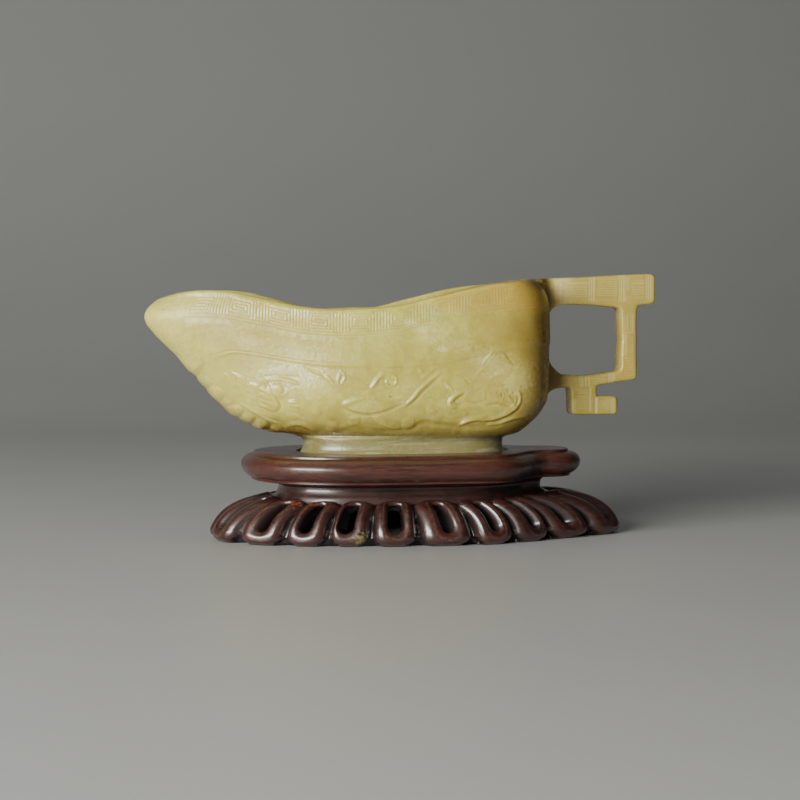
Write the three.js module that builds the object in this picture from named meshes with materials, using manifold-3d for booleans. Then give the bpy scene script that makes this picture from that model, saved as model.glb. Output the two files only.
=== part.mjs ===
// Carved jade pouring vessel (rounded spout, angular scroll handle, oblong
// foot ring) on its fitted hardwood stand. Millimetres, +Z up, the spout
// points to -X and the handle to +X.
import * as THREE from 'three';
import { mergeVertices } from 'three/addons/utils/BufferGeometryUtils.js';
import Module from 'manifold-3d';

const wasm = await Module();
wasm.setup();

// ---------------------------------------------------------------- dimensions
const SHIFT_X = 1.34;         // centres the whole object on the origin
const GAP = 0.3;              // clearance between touching pieces

// vessel
const FOOT_BOTTOM_Z = 26.6;   // foot ring sits this high, inside the recess
const FOOT_TOP_Z = 34.0;      // foot runs up into the bowl
const FOOT_X0 = -31.4;        // foot outline, spout end
const FOOT_X1 = 33.2;         // foot outline, handle end
const FOOT_HALF_DEPTH = 16.6;
const FOOT_FLARE = 1.1;       // the foot spreads by this much at its bottom
const FOOT_RING_WIDTH = 4.5;
const FOOT_RECESS_DEPTH = 2.4;
const WALL = 3.3;             // thickness of the bowl's wall
const BOWL_FLOOR_Z = 38.5;    // lowest point of the inside
const TOP_Z = 90;             // lofts run up to here before the rim is cut

// rim height along the length: [x, z]
const RIM = [[-90, 76.0], [-80.0, 76.3], [-78.4, 76.75], [-76.6, 77.4], [-74.7, 77.95], [-70.9, 78.85],
  [-66.8, 79.4], [-62, 79.45], [-56.5, 78.95], [-50.4, 77.7], [-44, 76.35], [-39.2, 75.2], [-34.4, 74.35],
  [-29.2, 73.8], [-23.1, 73.6], [-17, 73.7], [-9.3, 74.25], [-4.6, 74.8], [-0.5, 75.65], [3.6, 76.7],
  [8, 77.7], [12.2, 78.65], [16.3, 79.6], [20.8, 80.55], [27.3, 81.6], [34, 82.5], [38, 82.95], [44, 83.3],
  [60, 83.3]];

// outline ends at each height: [z, x]
const SPOUT_END = [[26, -29], [32.5, -31.4], [34.9, -43.6], [37.0, -49.2], [40.1, -54.6], [47.6, -62.2],
  [55.6, -69.0], [63.5, -77.0], [67.2, -80.6], [69.3, -81.9], [71.0, -82.4], [72.6, -82.0], [74.0, -81.0],
  [75.2, -79.7], [76.4, -78.2], [78, -76.6], [90, -74.0]];
const BACK_END = [[26, 31], [32.4, 34.4], [33.6, 37.4], [35.4, 40.0], [37.6, 42.6], [40, 44.7], [44.9, 47.1], [52, 47.5],
  [60, 47.5], [70, 47.4], [74, 47.2], [77, 46.6], [79.5, 45.5], [81.5, 43.9], [82.8, 42.4], [90, 42.2]];
const HALF_WIDTH = [[26, 16.4], [32.4, 16.8], [33.4, 18.8], [34.8, 20.8], [37, 22.7], [40, 24.1], [46, 25.5], [52, 26.1],
  [60, 26.5], [70, 26.3], [90, 25.9]];
// share of the full half width along the spout side, at the rim: [share of length, share of width]
const SPOUT_LEN = 80;
const SPOUT_PLAN = [[0, 0], [0.016, 0.19], [0.055, 0.33], [0.105, 0.43], [0.155, 0.495], [0.255, 0.57],
  [0.355, 0.635], [0.455, 0.705], [0.555, 0.785], [0.655, 0.862], [0.78, 0.937], [0.905, 0.983], [1, 1]];
const BOWL_LEN_LOW = 48;      // the same run at foot level
const BACK_LEN = 20;          // run of the rounded corners at the handle end
const BACK_POWER = 3.0;

// handle, side outline in x, z and its thickness along y
const HANDLE_T = 7.6;
const HANDLE_ROOT_X = 40.5;
const HANDLE_END_X = 84.9;
const HANDLE_TOP_Z0 = 83.3;
const HANDLE_TOP_Z1 = 85.05;
const WINDOW = [[53, 74.8], [64, 74.7], [71.8, 73.9], [73.0, 72.4], [73.1, 54.4], [71.9, 52.9],
  [63, 51.7], [56, 51.9], [52.8, 53.7], [50.0, 56.8], [48.6, 60], [48.1, 64], [48.1, 68.5], [49.0, 72], [50.8, 74]];

// stand
const PLATE_TOP_Z = 28.0;     // thin raised layer
const BEAD_TOP_Z = 27.2;
const BOARD_BOTTOM_Z = 17.6;
const RECESS_Z = 26.3;
const RECESS_CLEARANCE = 0.7;
const WAIST_TOP_Z = BOARD_BOTTOM_Z - GAP;
const PLATE_PLAN = [[-47.5, 0], [-46.6, 8.2], [-44, 14.6], [-40, 20.2], [-34, 25.2], [-28, 28], [-20, 29.6],
  [-8, 30], [18, 30], [25, 29.2], [29.4, 27], [33, 23.2], [36.2, 18.4], [39, 14.2], [41.8, 11.4],
  [45.2, 10.2], [48.5, 10.0], [51.5, 8.9], [53.8, 6.9], [55.2, 4.0], [55.8, 0]];
const WAIST_PLAN = [[-39.6, 0], [-38.8, 7], [-36.4, 12.2], [-32, 16.6], [-26, 19.6], [-18, 21.3], [-6, 22],
  [14, 22], [21, 21.2], [27, 18.8], [32.4, 15], [37.6, 10.8], [42.6, 7.0], [45.6, 4.4], [46.7, 0]];
const SKIRT_PLAN = [[-61.8, 0], [-60.6, 7.6], [-57.4, 13.0], [-52, 18.2], [-44, 23.2], [-34, 27.4], [-22, 30.6],
  [-8, 32.8], [8, 33.5], [20, 33.0], [29, 30.6], [38, 26.4], [47, 21.6], [56, 17.2], [64, 13.2], [69.6, 9.0],
  [72.8, 4.6], [73.6, 0]];
const PETALS = 20;
// petal middle lines along each side, in tenths of the way from the spout end to the handle end
const PETAL_PLACES = [0.50, 1.57, 2.47, 3.28, 4.27, 5.31, 6.31, 7.29, 8.18, 9.4];
const PETAL_EDGES = [0.0, 1.03, 2.07, 2.96, 3.79, 4.73, 5.83, 6.75, 7.66, 8.76, 10.0];
const SKIRT_RUN = 20;         // the profile below bends over this run; any more is flat
const SLOT_WIDTH = 4.4;
const SKIRT_WALL = 4.2;
// skirt profile: share of the run out to the outline, height
const SKIRT_PROFILE = [[0, 15.6], [0.04, 14.9], [0.14, 14.3], [0.3, 13.6], [0.46, 12.7], [0.6, 11.5], [0.74, 9.8],
  [0.86, 7.6], [0.95, 5.0], [1.0, 2.5], [0.99, 1.0], [0.95, 0]];

// ------------------------------------------------------------------- helpers
function lerpTable(t, x) {
  if (x <= t[0][0]) return t[0][1];
  for (let i = 1; i < t.length; i++) {
    if (x <= t[i][0]) {
      const k = (x - t[i - 1][0]) / (t[i][0] - t[i - 1][0]);
      return t[i - 1][1] + k * (t[i][1] - t[i - 1][1]);
    }
  }
  return t[t.length - 1][1];
}
// monotone cubic through a table, so the outlines have no corners
function smoothTable(t, x) {
  const n = t.length;
  if (x <= t[0][0]) return t[0][1];
  if (x >= t[n - 1][0]) return t[n - 1][1];
  let i = 1;
  while (x > t[i][0]) i++;
  const d = (k) => (t[k + 1][1] - t[k][1]) / (t[k + 1][0] - t[k][0]);
  const slope = (k) => {
    if (k === 0) return d(0);
    if (k === n - 1) return d(n - 2);
    const a = d(k - 1), b = d(k);
    return a * b <= 0 ? 0 : (2 * a * b) / (a + b);
  };
  const h = t[i][0] - t[i - 1][0], s = (x - t[i - 1][0]) / h;
  const m0 = slope(i - 1) * h, m1 = slope(i) * h;
  return t[i - 1][1] * (2 * s ** 3 - 3 * s ** 2 + 1) + m0 * (s ** 3 - 2 * s ** 2 + s)
    + t[i][1] * (-2 * s ** 3 + 3 * s ** 2) + m1 * (s ** 3 - s ** 2);
}
const smoothstep = (a, b, x) => {
  const k = Math.min(1, Math.max(0, (x - a) / (b - a)));
  return k * k * (3 - 2 * k);
};

function toManifold(geometry) {
  let g = geometry.clone();
  g.deleteAttribute('normal');
  g.deleteAttribute('uv');
  g = mergeVertices(g, 1e-4);
  const m = new wasm.Manifold(new wasm.Mesh({
    numProp: 3,
    vertProperties: new Float32Array(g.attributes.position.array),
    triVerts: new Uint32Array(g.index.array),
  }));
  return m;
}
function toGeometry(manifold) {
  const mesh = manifold.getMesh();
  const g = new THREE.BufferGeometry();
  const n = mesh.numProp, pos = new Float32Array((mesh.vertProperties.length / n) * 3);
  for (let i = 0; i < pos.length / 3; i++) for (let k = 0; k < 3; k++) pos[i * 3 + k] = mesh.vertProperties[i * n + k];
  g.setAttribute('position', new THREE.BufferAttribute(pos, 3));
  g.setIndex(new THREE.BufferAttribute(new Uint32Array(mesh.triVerts), 1));
  g.computeVertexNormals();
  return g;
}
// rings of equal length, listed from bottom to top, each going round
// counter-clockwise seen from above; both ends are capped
function loft(rings, closedLoop = false) {
  const pos = [], idx = [], n = rings[0].length, m = rings.length;
  for (const r of rings) for (const p of r) pos.push(p[0], p[1], p[2]);
  const last = closedLoop ? m : m - 1;
  for (let j = 0; j < last; j++) {
    const j2 = (j + 1) % m;
    for (let i = 0; i < n; i++) {
      const a = j * n + i, b = j * n + ((i + 1) % n), c = j2 * n + i, d = j2 * n + ((i + 1) % n);
      idx.push(a, b, d, a, d, c);
    }
  }
  if (!closedLoop) {
    for (const [j, up] of [[0, false], [m - 1, true]]) {
      let cx = 0, cy = 0, cz = 0;
      for (const p of rings[j]) { cx += p[0] / n; cy += p[1] / n; cz += p[2] / n; }
      const c = pos.length / 3;
      pos.push(cx, cy, cz);
      for (let i = 0; i < n; i++) {
        const a = j * n + i, b = j * n + ((i + 1) % n);
        if (up) idx.push(a, b, c); else idx.push(b, a, c);
      }
    }
  }
  const g = new THREE.BufferGeometry();
  g.setAttribute('position', new THREE.Float32BufferAttribute(pos, 3));
  g.setIndex(idx);
  return g;
}
// closed plan outline from x0 to x1, half width by function, counter-clockwise
function planRing(x0, x1, half, z, count) {
  const ring = [], k = count / 2;
  for (let i = 0; i < k; i++) {
    const x = x0 + (x1 - x0) * (1 - Math.cos((Math.PI * i) / k)) / 2;
    ring.push([x, -half(x), z]);
  }
  for (let i = 0; i < k; i++) {
    const x = x1 - (x1 - x0) * (1 - Math.cos((Math.PI * i) / k)) / 2;
    ring.push([x, half(x), z]);
  }
  return ring;
}
// the same number of points spread evenly along an outline's length
function resample(ring, count) {
  const n = ring.length, len = [0];
  for (let i = 0; i < n; i++) {
    const a = ring[i], b = ring[(i + 1) % n];
    len.push(len[i] + Math.hypot(a[0] - b[0], a[1] - b[1]));
  }
  const out = [], total = len[n];
  let j = 0;
  for (let i = 0; i < count; i++) {
    const s = (total * i) / count;
    while (len[j + 1] < s) j++;
    const k = (s - len[j]) / (len[j + 1] - len[j]);
    const a = ring[j], b = ring[(j + 1) % n];
    out.push([a[0] + k * (b[0] - a[0]), a[1] + k * (b[1] - a[1]), a[2]]);
  }
  return out;
}
// pushes an even outline outwards (or inwards, for a negative distance)
function offsetRing(ring, dist, z) {
  const n = ring.length;
  return ring.map((p, i) => {
    const a = ring[(i - 1 + n) % n], b = ring[(i + 1) % n];
    const tx = b[0] - a[0], ty = b[1] - a[1], l = Math.hypot(tx, ty);
    return [p[0] + (ty / l) * dist, p[1] - (tx / l) * dist, z ?? p[2]];
  });
}
// extrudes an x, z outline along y, centred on y = 0
function extrudeXZ(points, thickness, holes = []) {
  const turned = (p, cw) => (THREE.ShapeUtils.isClockWise(p.map(([x, z]) => new THREE.Vector2(x, z))) === cw ? p : [...p].reverse());
  points = turned(points, false);
  holes = holes.map((h) => turned(h, true));
  const shape = new THREE.Shape(points.map(([x, z]) => new THREE.Vector2(x, z)));
  for (const h of holes) shape.holes.push(new THREE.Path(h.map(([x, z]) => new THREE.Vector2(x, z))));
  const g = new THREE.ExtrudeGeometry(shape, { depth: thickness, bevelEnabled: false });
  g.rotateX(Math.PI / 2);
  g.translate(0, thickness / 2, 0);
  return g;
}

// -------------------------------------------------------------------- vessel
const VESSEL_N = 64;
function vesselHalf(x, z, x0, x1, W) {
  // spout side
  const low = BOWL_LEN_LOW, k = smoothstep(40, 68, z);
  const len = low + (SPOUT_LEN - low) * k;
  const s = Math.min(1, Math.max(0, (x - x0) / len));
  const round = Math.sqrt(Math.max(0, 1 - (1 - s) ** 2));
  const table = SPOUT_PLAN.map(([a, b]) => [Math.sqrt(a), b]);
  const spout = smoothTable(table, Math.sqrt(s));
  let f = round + (spout - round) * k;
  // handle side
  const q = Math.min(1, Math.max(0, (x - (x1 - BACK_LEN)) / BACK_LEN));
  f *= Math.pow(Math.max(0, 1 - q ** BACK_POWER), 1 / BACK_POWER);
  return W * f;
}
function vesselRing(z) {
  const x0 = smoothTable(SPOUT_END, z), x1 = smoothTable(BACK_END, z), W = smoothTable(HALF_WIDTH, z);
  return planRing(x0, x1, (x) => vesselHalf(x, z, x0, x1, W), z, VESSEL_N);
}
function cavityRing(z) {
  // the inside follows the outside at the wall's thickness, and is rounder below
  const zo = z - 1.2;
  const slope = (smoothTable(SPOUT_END, zo - 1) - smoothTable(SPOUT_END, zo + 1)) / 2;
  const x0 = smoothTable(SPOUT_END, zo) + WALL * Math.hypot(1, slope) * 0.92;
  const dz = z - BOWL_FLOOR_Z, round = Math.sqrt(Math.min(1, Math.max(0, dz / 14)));
  const x1 = smoothTable(BACK_END, zo) - WALL;
  const W = smoothTable(HALF_WIDTH, zo) - WALL;
  const cx0 = x0 + (1 - round) * (-20 - x0), cx1 = x1 + (1 - round) * (22 - x1);
  return planRing(cx0, cx1, (x) => Math.max(0.0, vesselHalf(x, z, cx0, cx1, W) * (0.3 + 0.7 * round)), z, VESSEL_N);
}

const zs = [32.4, 33.2, 35.0, 37.6, 40.6, 44.5, 50, 56, 62, 66.5, 69.5, 72, 75.5, 79, 81.2, 83, TOP_Z];
const outer = toManifold(loft(zs.map(vesselRing)));
const czs = [38.5, 38.9, 40.2, 42.5, 46, 51, 56, 61, 66, 70, 74, 78, 82, TOP_Z + 4];
const cavity = toManifold(loft(czs.map(cavityRing)));

// everything above the rim's curve
const rimLine = [];
for (let x = -88; x <= 60; x += 4) rimLine.push([x, smoothTable(RIM, x)]);
const above = toManifold(extrudeXZ([...rimLine, [60, TOP_Z + 8], [-88, TOP_Z + 8]], 90));

// oblong foot ring, hollow underneath
function footHalf(W) {
  return (x, x0, x1) => {
    const c = (x0 + x1) / 2, h = (x1 - x0) / 2, s = Math.abs((x - c) / h);
    return W * Math.pow(Math.max(0, 1 - s ** 3.2), 1 / 2.6);
  };
}
const footRings = [];
for (const [z, d] of [[FOOT_BOTTOM_Z, FOOT_FLARE], [FOOT_BOTTOM_Z + 1.1, FOOT_FLARE * 0.75], [29.4, 0.1], [31.2, 0], [FOOT_TOP_Z, 0.6]]) {
  const x0 = FOOT_X0 - d, x1 = FOOT_X1 + d, f = footHalf(FOOT_HALF_DEPTH + d);
  footRings.push(planRing(x0, x1, (x) => f(x, x0, x1), z, 48));
}
const foot = toManifold(loft(footRings));
const hollowRings = [];
for (const z of [FOOT_BOTTOM_Z - 2, FOOT_BOTTOM_Z + FOOT_RECESS_DEPTH]) {
  const x0 = FOOT_X0 - FOOT_FLARE + FOOT_RING_WIDTH, x1 = FOOT_X1 + FOOT_FLARE - FOOT_RING_WIDTH;
  const f = footHalf(FOOT_HALF_DEPTH + FOOT_FLARE - FOOT_RING_WIDTH);
  hollowRings.push(planRing(x0, x1, (x) => f(x, x0, x1), z, 36));
}
const footHollow = toManifold(loft(hollowRings));

// angular handle: top bar, upright, lower bar and the turned-back hook
const handleOutline = [
  [HANDLE_ROOT_X, HANDLE_TOP_Z0], [52, 83.55], [66, 84.2], [83.7, HANDLE_TOP_Z1], [HANDLE_END_X, 83.9], [HANDLE_END_X, 76.0],
  [83.7, 74.9], [78.7, 74.5], [78.7, 50.8], [77.9, 50.1], [72.6, 49.5], [65.1, 48.3], [65.1, 45.0],
  [71.2, 44.9], [72.2, 44.0], [72.2, 39.6], [71.4, 38.8], [57.5, 38.7], [56.5, 39.6], [56.0, 48.0],
  [51.5, 47.6], [48.8, 46.2], [HANDLE_ROOT_X, 45.2],
];
const handle = toManifold(extrudeXZ(handleOutline, HANDLE_T, [WINDOW]));

const vesselSolid = outer.add(foot).add(handle).subtract(cavity).subtract(above.subtract(toManifold(
  extrudeXZ([[45.2, 70], [95, 70], [95, 99], [45.2, 99]], 90)))).subtract(footHollow);

// --------------------------------------------------------------------- stand
const table2 = (t) => (x) => {
  // square-root spacing at both ends keeps the outline round there
  const x0 = t[0][0], x1 = t[t.length - 1][0], mid = (x0 + x1) / 2, h = (x1 - x0) / 2;
  const map = (v) => { const s = (v - mid) / h; return Math.asin(Math.min(1, Math.max(-1, s))); };
  return smoothTable(t.map(([a, b]) => [map(a), b]), map(x));
};
const planOf = (t, z) => planRing(t[0][0], t[t.length - 1][0], table2(t), z, 160);

const BOARD_N = 80;
const plate = resample(planOf(PLATE_PLAN, 0), BOARD_N);
const boardRings = [];
// the underside runs in a cove from the waist's outline out to the eave
const waistUnder = resample(planOf(WAIST_PLAN, 0), BOARD_N), eave = offsetRing(plate, 0.15, 19.18);
for (const [t, z] of [[0, BOARD_BOTTOM_Z], [0.06, 18.3], [0.23, 18.86], [0.6, 19.12]]) {
  boardRings.push(waistUnder.map((p, i) => [p[0] + (eave[i][0] - p[0]) * t, p[1] + (eave[i][1] - p[1]) * t, z]));
}
for (const [d, z] of [[0.15, 19.18], [1.9, 20.5], [3.15, 21.7], [4.0, 23.8],
  [3.4, 25.7], [1.8, 26.9], [0.2, BEAD_TOP_Z], [0.0, 27.35], [0.0, 27.8], [-0.5, PLATE_TOP_Z]]) {
  boardRings.push(offsetRing(plate, d, z));
}
const recessRings = [];
for (const z of [RECESS_Z, PLATE_TOP_Z + 3]) {
  const d = FOOT_FLARE + RECESS_CLEARANCE, x0 = FOOT_X0 - d, x1 = FOOT_X1 + d, f = footHalf(FOOT_HALF_DEPTH + d);
  recessRings.push(planRing(x0, x1, (x) => f(x, x0, x1), z, 48));
}
const board = toManifold(loft(boardRings)).subtract(toManifold(loft(recessRings)));

const BASE_N = PETALS * 6;
const waist = resample(planOf(WAIST_PLAN, 0), BASE_N);
const skirt = resample(planOf(SKIRT_PLAN, 0), BASE_N);
const grooves = PETAL_EDGES;
const scallop = (i) => {
  let p = (i / BASE_N) * 20;
  if (p > 10) p = 20 - p;
  let k = 0;
  while (k < 9 && p > grooves[k + 1]) k++;
  const mid = (grooves[k] + grooves[k + 1]) / 2, e = Math.abs(p - mid) / (grooves[k + 1] - grooves[k]);
  return Math.max(0, e - 0.22) / 0.28;        // 0 along the petal's middle line, 1 in the groove
};
const ringPoint = (ring, t) => {
  const n = ring.length, i = Math.floor(t), k = t - i, a = ring[((i % n) + n) % n], b = ring[(((i + 1) % n) + n) % n];
  return [a[0] + k * (b[0] - a[0]), a[1] + k * (b[1] - a[1])];
};
const baseRings = [];
// inside, from the top down
const innerTop = offsetRing(waist, -5.2);
baseRings.push(innerTop.map((p) => [p[0], p[1], WAIST_TOP_Z]));
baseRings.push(innerTop.map((p) => [p[0], p[1], 12.2]));
for (const [s, z] of [[0.30, 9.6], [0.56, 6.0], [0.70, 2.6], [0.74, 0]]) {
  baseRings.push(waist.map((p, i) => [p[0] + (skirt[i][0] - p[0]) * s, p[1] + (skirt[i][1] - p[1]) * s, z]));
}
// outside, from the floor up
for (let k = SKIRT_PROFILE.length - 1; k >= 0; k--) {
  const [s, z] = SKIRT_PROFILE[k];
  baseRings.push(waist.map((p, i) => {
    const dip = s > 0.2 ? scallop(i) * 0.055 * Math.min(1, s * 1.6) : 0;
    const run = Math.hypot(skirt[i][0] - p[0], skirt[i][1] - p[1]);
    const share = Math.min(1, SKIRT_RUN / run);
    const q = s < 0.1 ? s : Math.max(0, 1 - (1 - (s - dip)) * share);
    return [p[0] + (skirt[i][0] - p[0]) * q, p[1] + (skirt[i][1] - p[1]) * q, z - (s > 0.2 ? scallop(i) * 0.5 * (z > 2 ? 1 : 0) : 0)];
  }));
}
baseRings.push(offsetRing(waist, -0.1, 16.4));
baseRings.push(offsetRing(waist, 0.0, WAIST_TOP_Z));
let base = toManifold(loft(baseRings, true));
for (let k = 0; k < PETALS; k++) {
  const place = k < 10 ? PETAL_PLACES[k] : 20 - PETAL_PLACES[k - 10];
  const a = ringPoint(waist, (place / 20) * BASE_N), b = ringPoint(skirt, (place / 20) * BASE_N);
  const dx = b[0] - a[0], dy = b[1] - a[1], run = Math.hypot(dx, dy);
  const h0 = [0.36 * run, 12.6], h1 = [0.88 * run, 3.0];
  const slope = Math.atan2(h0[1] - h1[1], h1[0] - h0[0]);
  const length = Math.hypot(h1[0] - h0[0], h0[1] - h1[1]);
  const r = SLOT_WIDTH / 2, s = new THREE.Shape();
  s.absarc(0, length / 2 - r, r, 0, Math.PI, false);
  s.absarc(0, -length / 2 + r, r, Math.PI, 2 * Math.PI, false);
  const g = new THREE.ExtrudeGeometry(s, { depth: 14, bevelEnabled: false, curveSegments: 3 });
  g.translate(0, 0, -9);
  // local y runs down the petal, local z points out of it
  const yAxis = new THREE.Vector3((dx / run) * Math.cos(slope), (dy / run) * Math.cos(slope), -Math.sin(slope));
  const zAxis = new THREE.Vector3((dx / run) * Math.sin(slope), (dy / run) * Math.sin(slope), Math.cos(slope));
  const xAxis = new THREE.Vector3().crossVectors(yAxis, zAxis);
  const m = new THREE.Matrix4().makeBasis(xAxis, yAxis, zAxis);
  const mid = (h0[0] + h1[0]) / 2, zm = (h0[1] + h1[1]) / 2;
  m.setPosition(a[0] + (dx / run) * mid, a[1] + (dy / run) * mid, zm);
  g.applyMatrix4(m);
  base = base.subtract(toManifold(g));
}

// --------------------------------------------------------------------- scene
const jade = new THREE.MeshStandardMaterial({ color: 0xc6bd8b, roughness: 0.32, metalness: 0 });
const woodTop = new THREE.MeshStandardMaterial({ color: 0x4a2a26, roughness: 0.38, metalness: 0 });
const woodBase = new THREE.MeshStandardMaterial({ color: 0x462823, roughness: 0.42, metalness: 0 });

function mesh(name, solid, material) {
  const m = new THREE.Mesh(toGeometry(solid), material);
  m.name = name;
  m.position.x = -SHIFT_X;
  return m;
}

const group = new THREE.Group();
group.add(mesh('jade_vessel', vesselSolid, jade));
const standGroup = new THREE.Group();
standGroup.add(mesh('stand_top_board', board, woodTop));
standGroup.add(mesh('stand_petal_base', base, woodBase));
group.add(standGroup);

export default group;
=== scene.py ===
import math

import bpy
import numpy as np
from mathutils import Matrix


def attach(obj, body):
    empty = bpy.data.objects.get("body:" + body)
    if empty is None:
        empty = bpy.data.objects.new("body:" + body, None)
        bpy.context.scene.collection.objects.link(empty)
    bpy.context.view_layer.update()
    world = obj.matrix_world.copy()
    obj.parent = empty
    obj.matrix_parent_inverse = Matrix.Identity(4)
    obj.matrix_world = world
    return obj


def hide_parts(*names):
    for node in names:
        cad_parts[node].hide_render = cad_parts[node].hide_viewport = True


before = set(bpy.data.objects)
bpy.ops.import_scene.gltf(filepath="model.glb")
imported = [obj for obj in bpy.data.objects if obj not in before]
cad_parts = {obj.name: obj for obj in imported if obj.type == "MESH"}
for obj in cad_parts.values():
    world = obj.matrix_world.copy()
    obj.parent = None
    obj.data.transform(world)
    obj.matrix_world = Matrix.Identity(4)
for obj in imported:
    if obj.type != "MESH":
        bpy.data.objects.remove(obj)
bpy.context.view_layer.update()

# ------------------------------------------------------------------ dimensions
# Millimetres, in the drawing's own frame; the finished pieces are moved by
# -SHIFT_X and scaled to metres.
SHIFT_X = 1.34
MM = 0.001

RIM = [[-90, 76.0], [-80.0, 76.3], [-78.4, 76.75], [-76.6, 77.4], [-74.7, 77.95], [-70.9, 78.85],
       [-66.8, 79.4], [-62, 79.45], [-56.5, 78.95], [-50.4, 77.7], [-44, 76.35], [-39.2, 75.2], [-34.4, 74.35],
       [-29.2, 73.8], [-23.1, 73.6], [-17, 73.7], [-9.3, 74.25], [-4.6, 74.8], [-0.5, 75.65], [3.6, 76.7],
       [8, 77.7], [12.2, 78.65], [16.3, 79.6], [20.8, 80.55], [27.3, 81.6], [34, 82.35], [38, 82.8], [44, 83.3],
       [60, 83.3]]
SPOUT_END = [[26, -29], [32.5, -31.4], [34.9, -43.6], [37.0, -49.2], [40.1, -54.6], [47.6, -62.2],
             [55.6, -69.0], [63.5, -77.0], [67.2, -80.5], [69.3, -81.72], [71.0, -82.18], [72.6, -81.85],
             [74.0, -80.95], [75.2, -79.7], [76.4, -78.2], [78, -76.6], [90, -74.0]]
BACK_END = [[26, 31], [32.4, 34.4], [33.6, 37.4], [35.4, 40.0], [37.6, 42.6], [40, 44.7], [44.9, 47.1],
            [52, 47.5], [60, 47.5], [70, 47.4], [74, 47.2], [77, 46.6], [79.5, 45.5], [81.5, 43.9],
            [82.8, 42.4], [90, 42.2]]
HALF_WIDTH = [[26, 16.4], [32.4, 16.8], [33.4, 18.8], [34.8, 20.8], [37, 22.7], [40, 24.1], [46, 25.5],
              [52, 26.1], [60, 26.5], [70, 26.3], [90, 25.9]]
SPOUT_LEN = 80.0
SPOUT_PLAN = [[0, 0], [0.016, 0.19], [0.055, 0.33], [0.105, 0.43], [0.155, 0.495], [0.255, 0.57],
              [0.355, 0.635], [0.455, 0.705], [0.555, 0.785], [0.655, 0.862], [0.78, 0.937],
              [0.905, 0.983], [1, 1]]
BOWL_LEN_LOW = 48.0
BACK_LEN = 20.0
BACK_POWER = 3.0
WALL = 3.3
BOWL_FLOOR_Z = 38.5
FOOT_BOTTOM_Z = 26.6
FOOT_X0, FOOT_X1, FOOT_HALF_DEPTH = -31.4, 33.2, 16.6
FOOT_FLARE = 1.1
FOOT_RING_WIDTH = 4.5
FOOT_RECESS_DEPTH = 2.4

PLATE_PLAN = [[-47.5, 0], [-46.6, 8.2], [-44, 14.6], [-40, 20.2], [-34, 25.2], [-28, 28], [-20, 29.6],
              [-8, 30], [18, 30], [25, 29.2], [29.4, 27], [33, 23.2], [36.2, 18.4], [39, 14.2], [41.8, 11.4],
              [45.2, 10.2], [48.5, 10.0], [51.5, 8.9], [53.8, 6.9], [55.2, 4.0], [55.8, 0]]
WAIST_PLAN = [[-39.6, 0], [-38.8, 7], [-36.4, 12.2], [-32, 16.6], [-26, 19.6], [-18, 21.3], [-6, 22],
              [14, 22], [21, 21.2], [27, 18.8], [32.4, 15], [37.6, 10.8], [42.6, 7.0], [45.6, 4.4], [46.7, 0]]
SKIRT_PLAN = [[-61.8, 0], [-60.6, 7.6], [-57.4, 13.0], [-52, 18.2], [-44, 23.2], [-34, 27.4], [-22, 30.6],
              [-8, 32.8], [8, 33.5], [20, 33.0], [29, 30.6], [38, 26.4], [47, 21.6], [56, 17.2], [64, 13.2],
              [69.6, 9.0], [72.8, 4.6], [73.6, 0]]
PETAL_PLACES = [0.50, 1.57, 2.47, 3.28, 4.27, 5.31, 6.31, 7.29, 8.18, 9.4]
SKIRT_PROFILE = [[0, 16.2], [0.02, 15.5], [0.05, 14.95], [0.1, 14.5], [0.16, 14.2], [0.3, 13.6], [0.46, 12.7], [0.6, 11.5], [0.74, 9.8],
                 [0.86, 7.6], [0.95, 5.0], [1.0, 2.5], [0.99, 1.0], [0.95, 0]]


# --------------------------------------------------------------------- helpers
def smooth_table(table):
    """Monotone cubic through a table of pairs."""
    t = np.asarray(table, float)
    x, y = t[:, 0], t[:, 1]
    n = len(x)
    d = np.diff(y) / np.diff(x)
    m = np.zeros(n)
    m[0], m[-1] = d[0], d[-1]
    for i in range(1, n - 1):
        m[i] = 0.0 if d[i - 1] * d[i] <= 0 else 2 * d[i - 1] * d[i] / (d[i - 1] + d[i])

    def f(q):
        q = np.clip(np.asarray(q, float), x[0], x[-1])
        i = np.clip(np.searchsorted(x, q, side="right") - 1, 0, n - 2)
        h = x[i + 1] - x[i]
        s = (q - x[i]) / h
        return ((2 * s ** 3 - 3 * s ** 2 + 1) * y[i] + (s ** 3 - 2 * s ** 2 + s) * h * m[i]
                + (-2 * s ** 3 + 3 * s ** 2) * y[i + 1] + (s ** 3 - s ** 2) * h * m[i + 1])
    return f


def smoothstep(a, b, v):
    t = np.clip((np.asarray(v, float) - a) / (b - a), 0, 1)
    return t * t * (3 - 2 * t)


def lerp(a, b, t):
    return a + (b - a) * t


rim_z, spout_x, back_x, half_w = map(smooth_table, (RIM, SPOUT_END, BACK_END, HALF_WIDTH))
spout_f = smooth_table([[math.sqrt(a), b] for a, b in SPOUT_PLAN])


def vessel_half(x, z, x0, x1, w):
    k = smoothstep(40, 68, z)
    length = BOWL_LEN_LOW + (SPOUT_LEN - BOWL_LEN_LOW) * k
    s = np.clip((x - x0) / length, 0, 1)
    rnd = np.sqrt(np.maximum(0, 1 - (1 - s) ** 2))
    f = rnd + (spout_f(np.sqrt(s)) - rnd) * k
    q = np.clip((x - (x1 - BACK_LEN)) / BACK_LEN, 0, 1)
    return w * f * np.maximum(0, 1 - q ** BACK_POWER) ** (1 / BACK_POWER)


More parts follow.
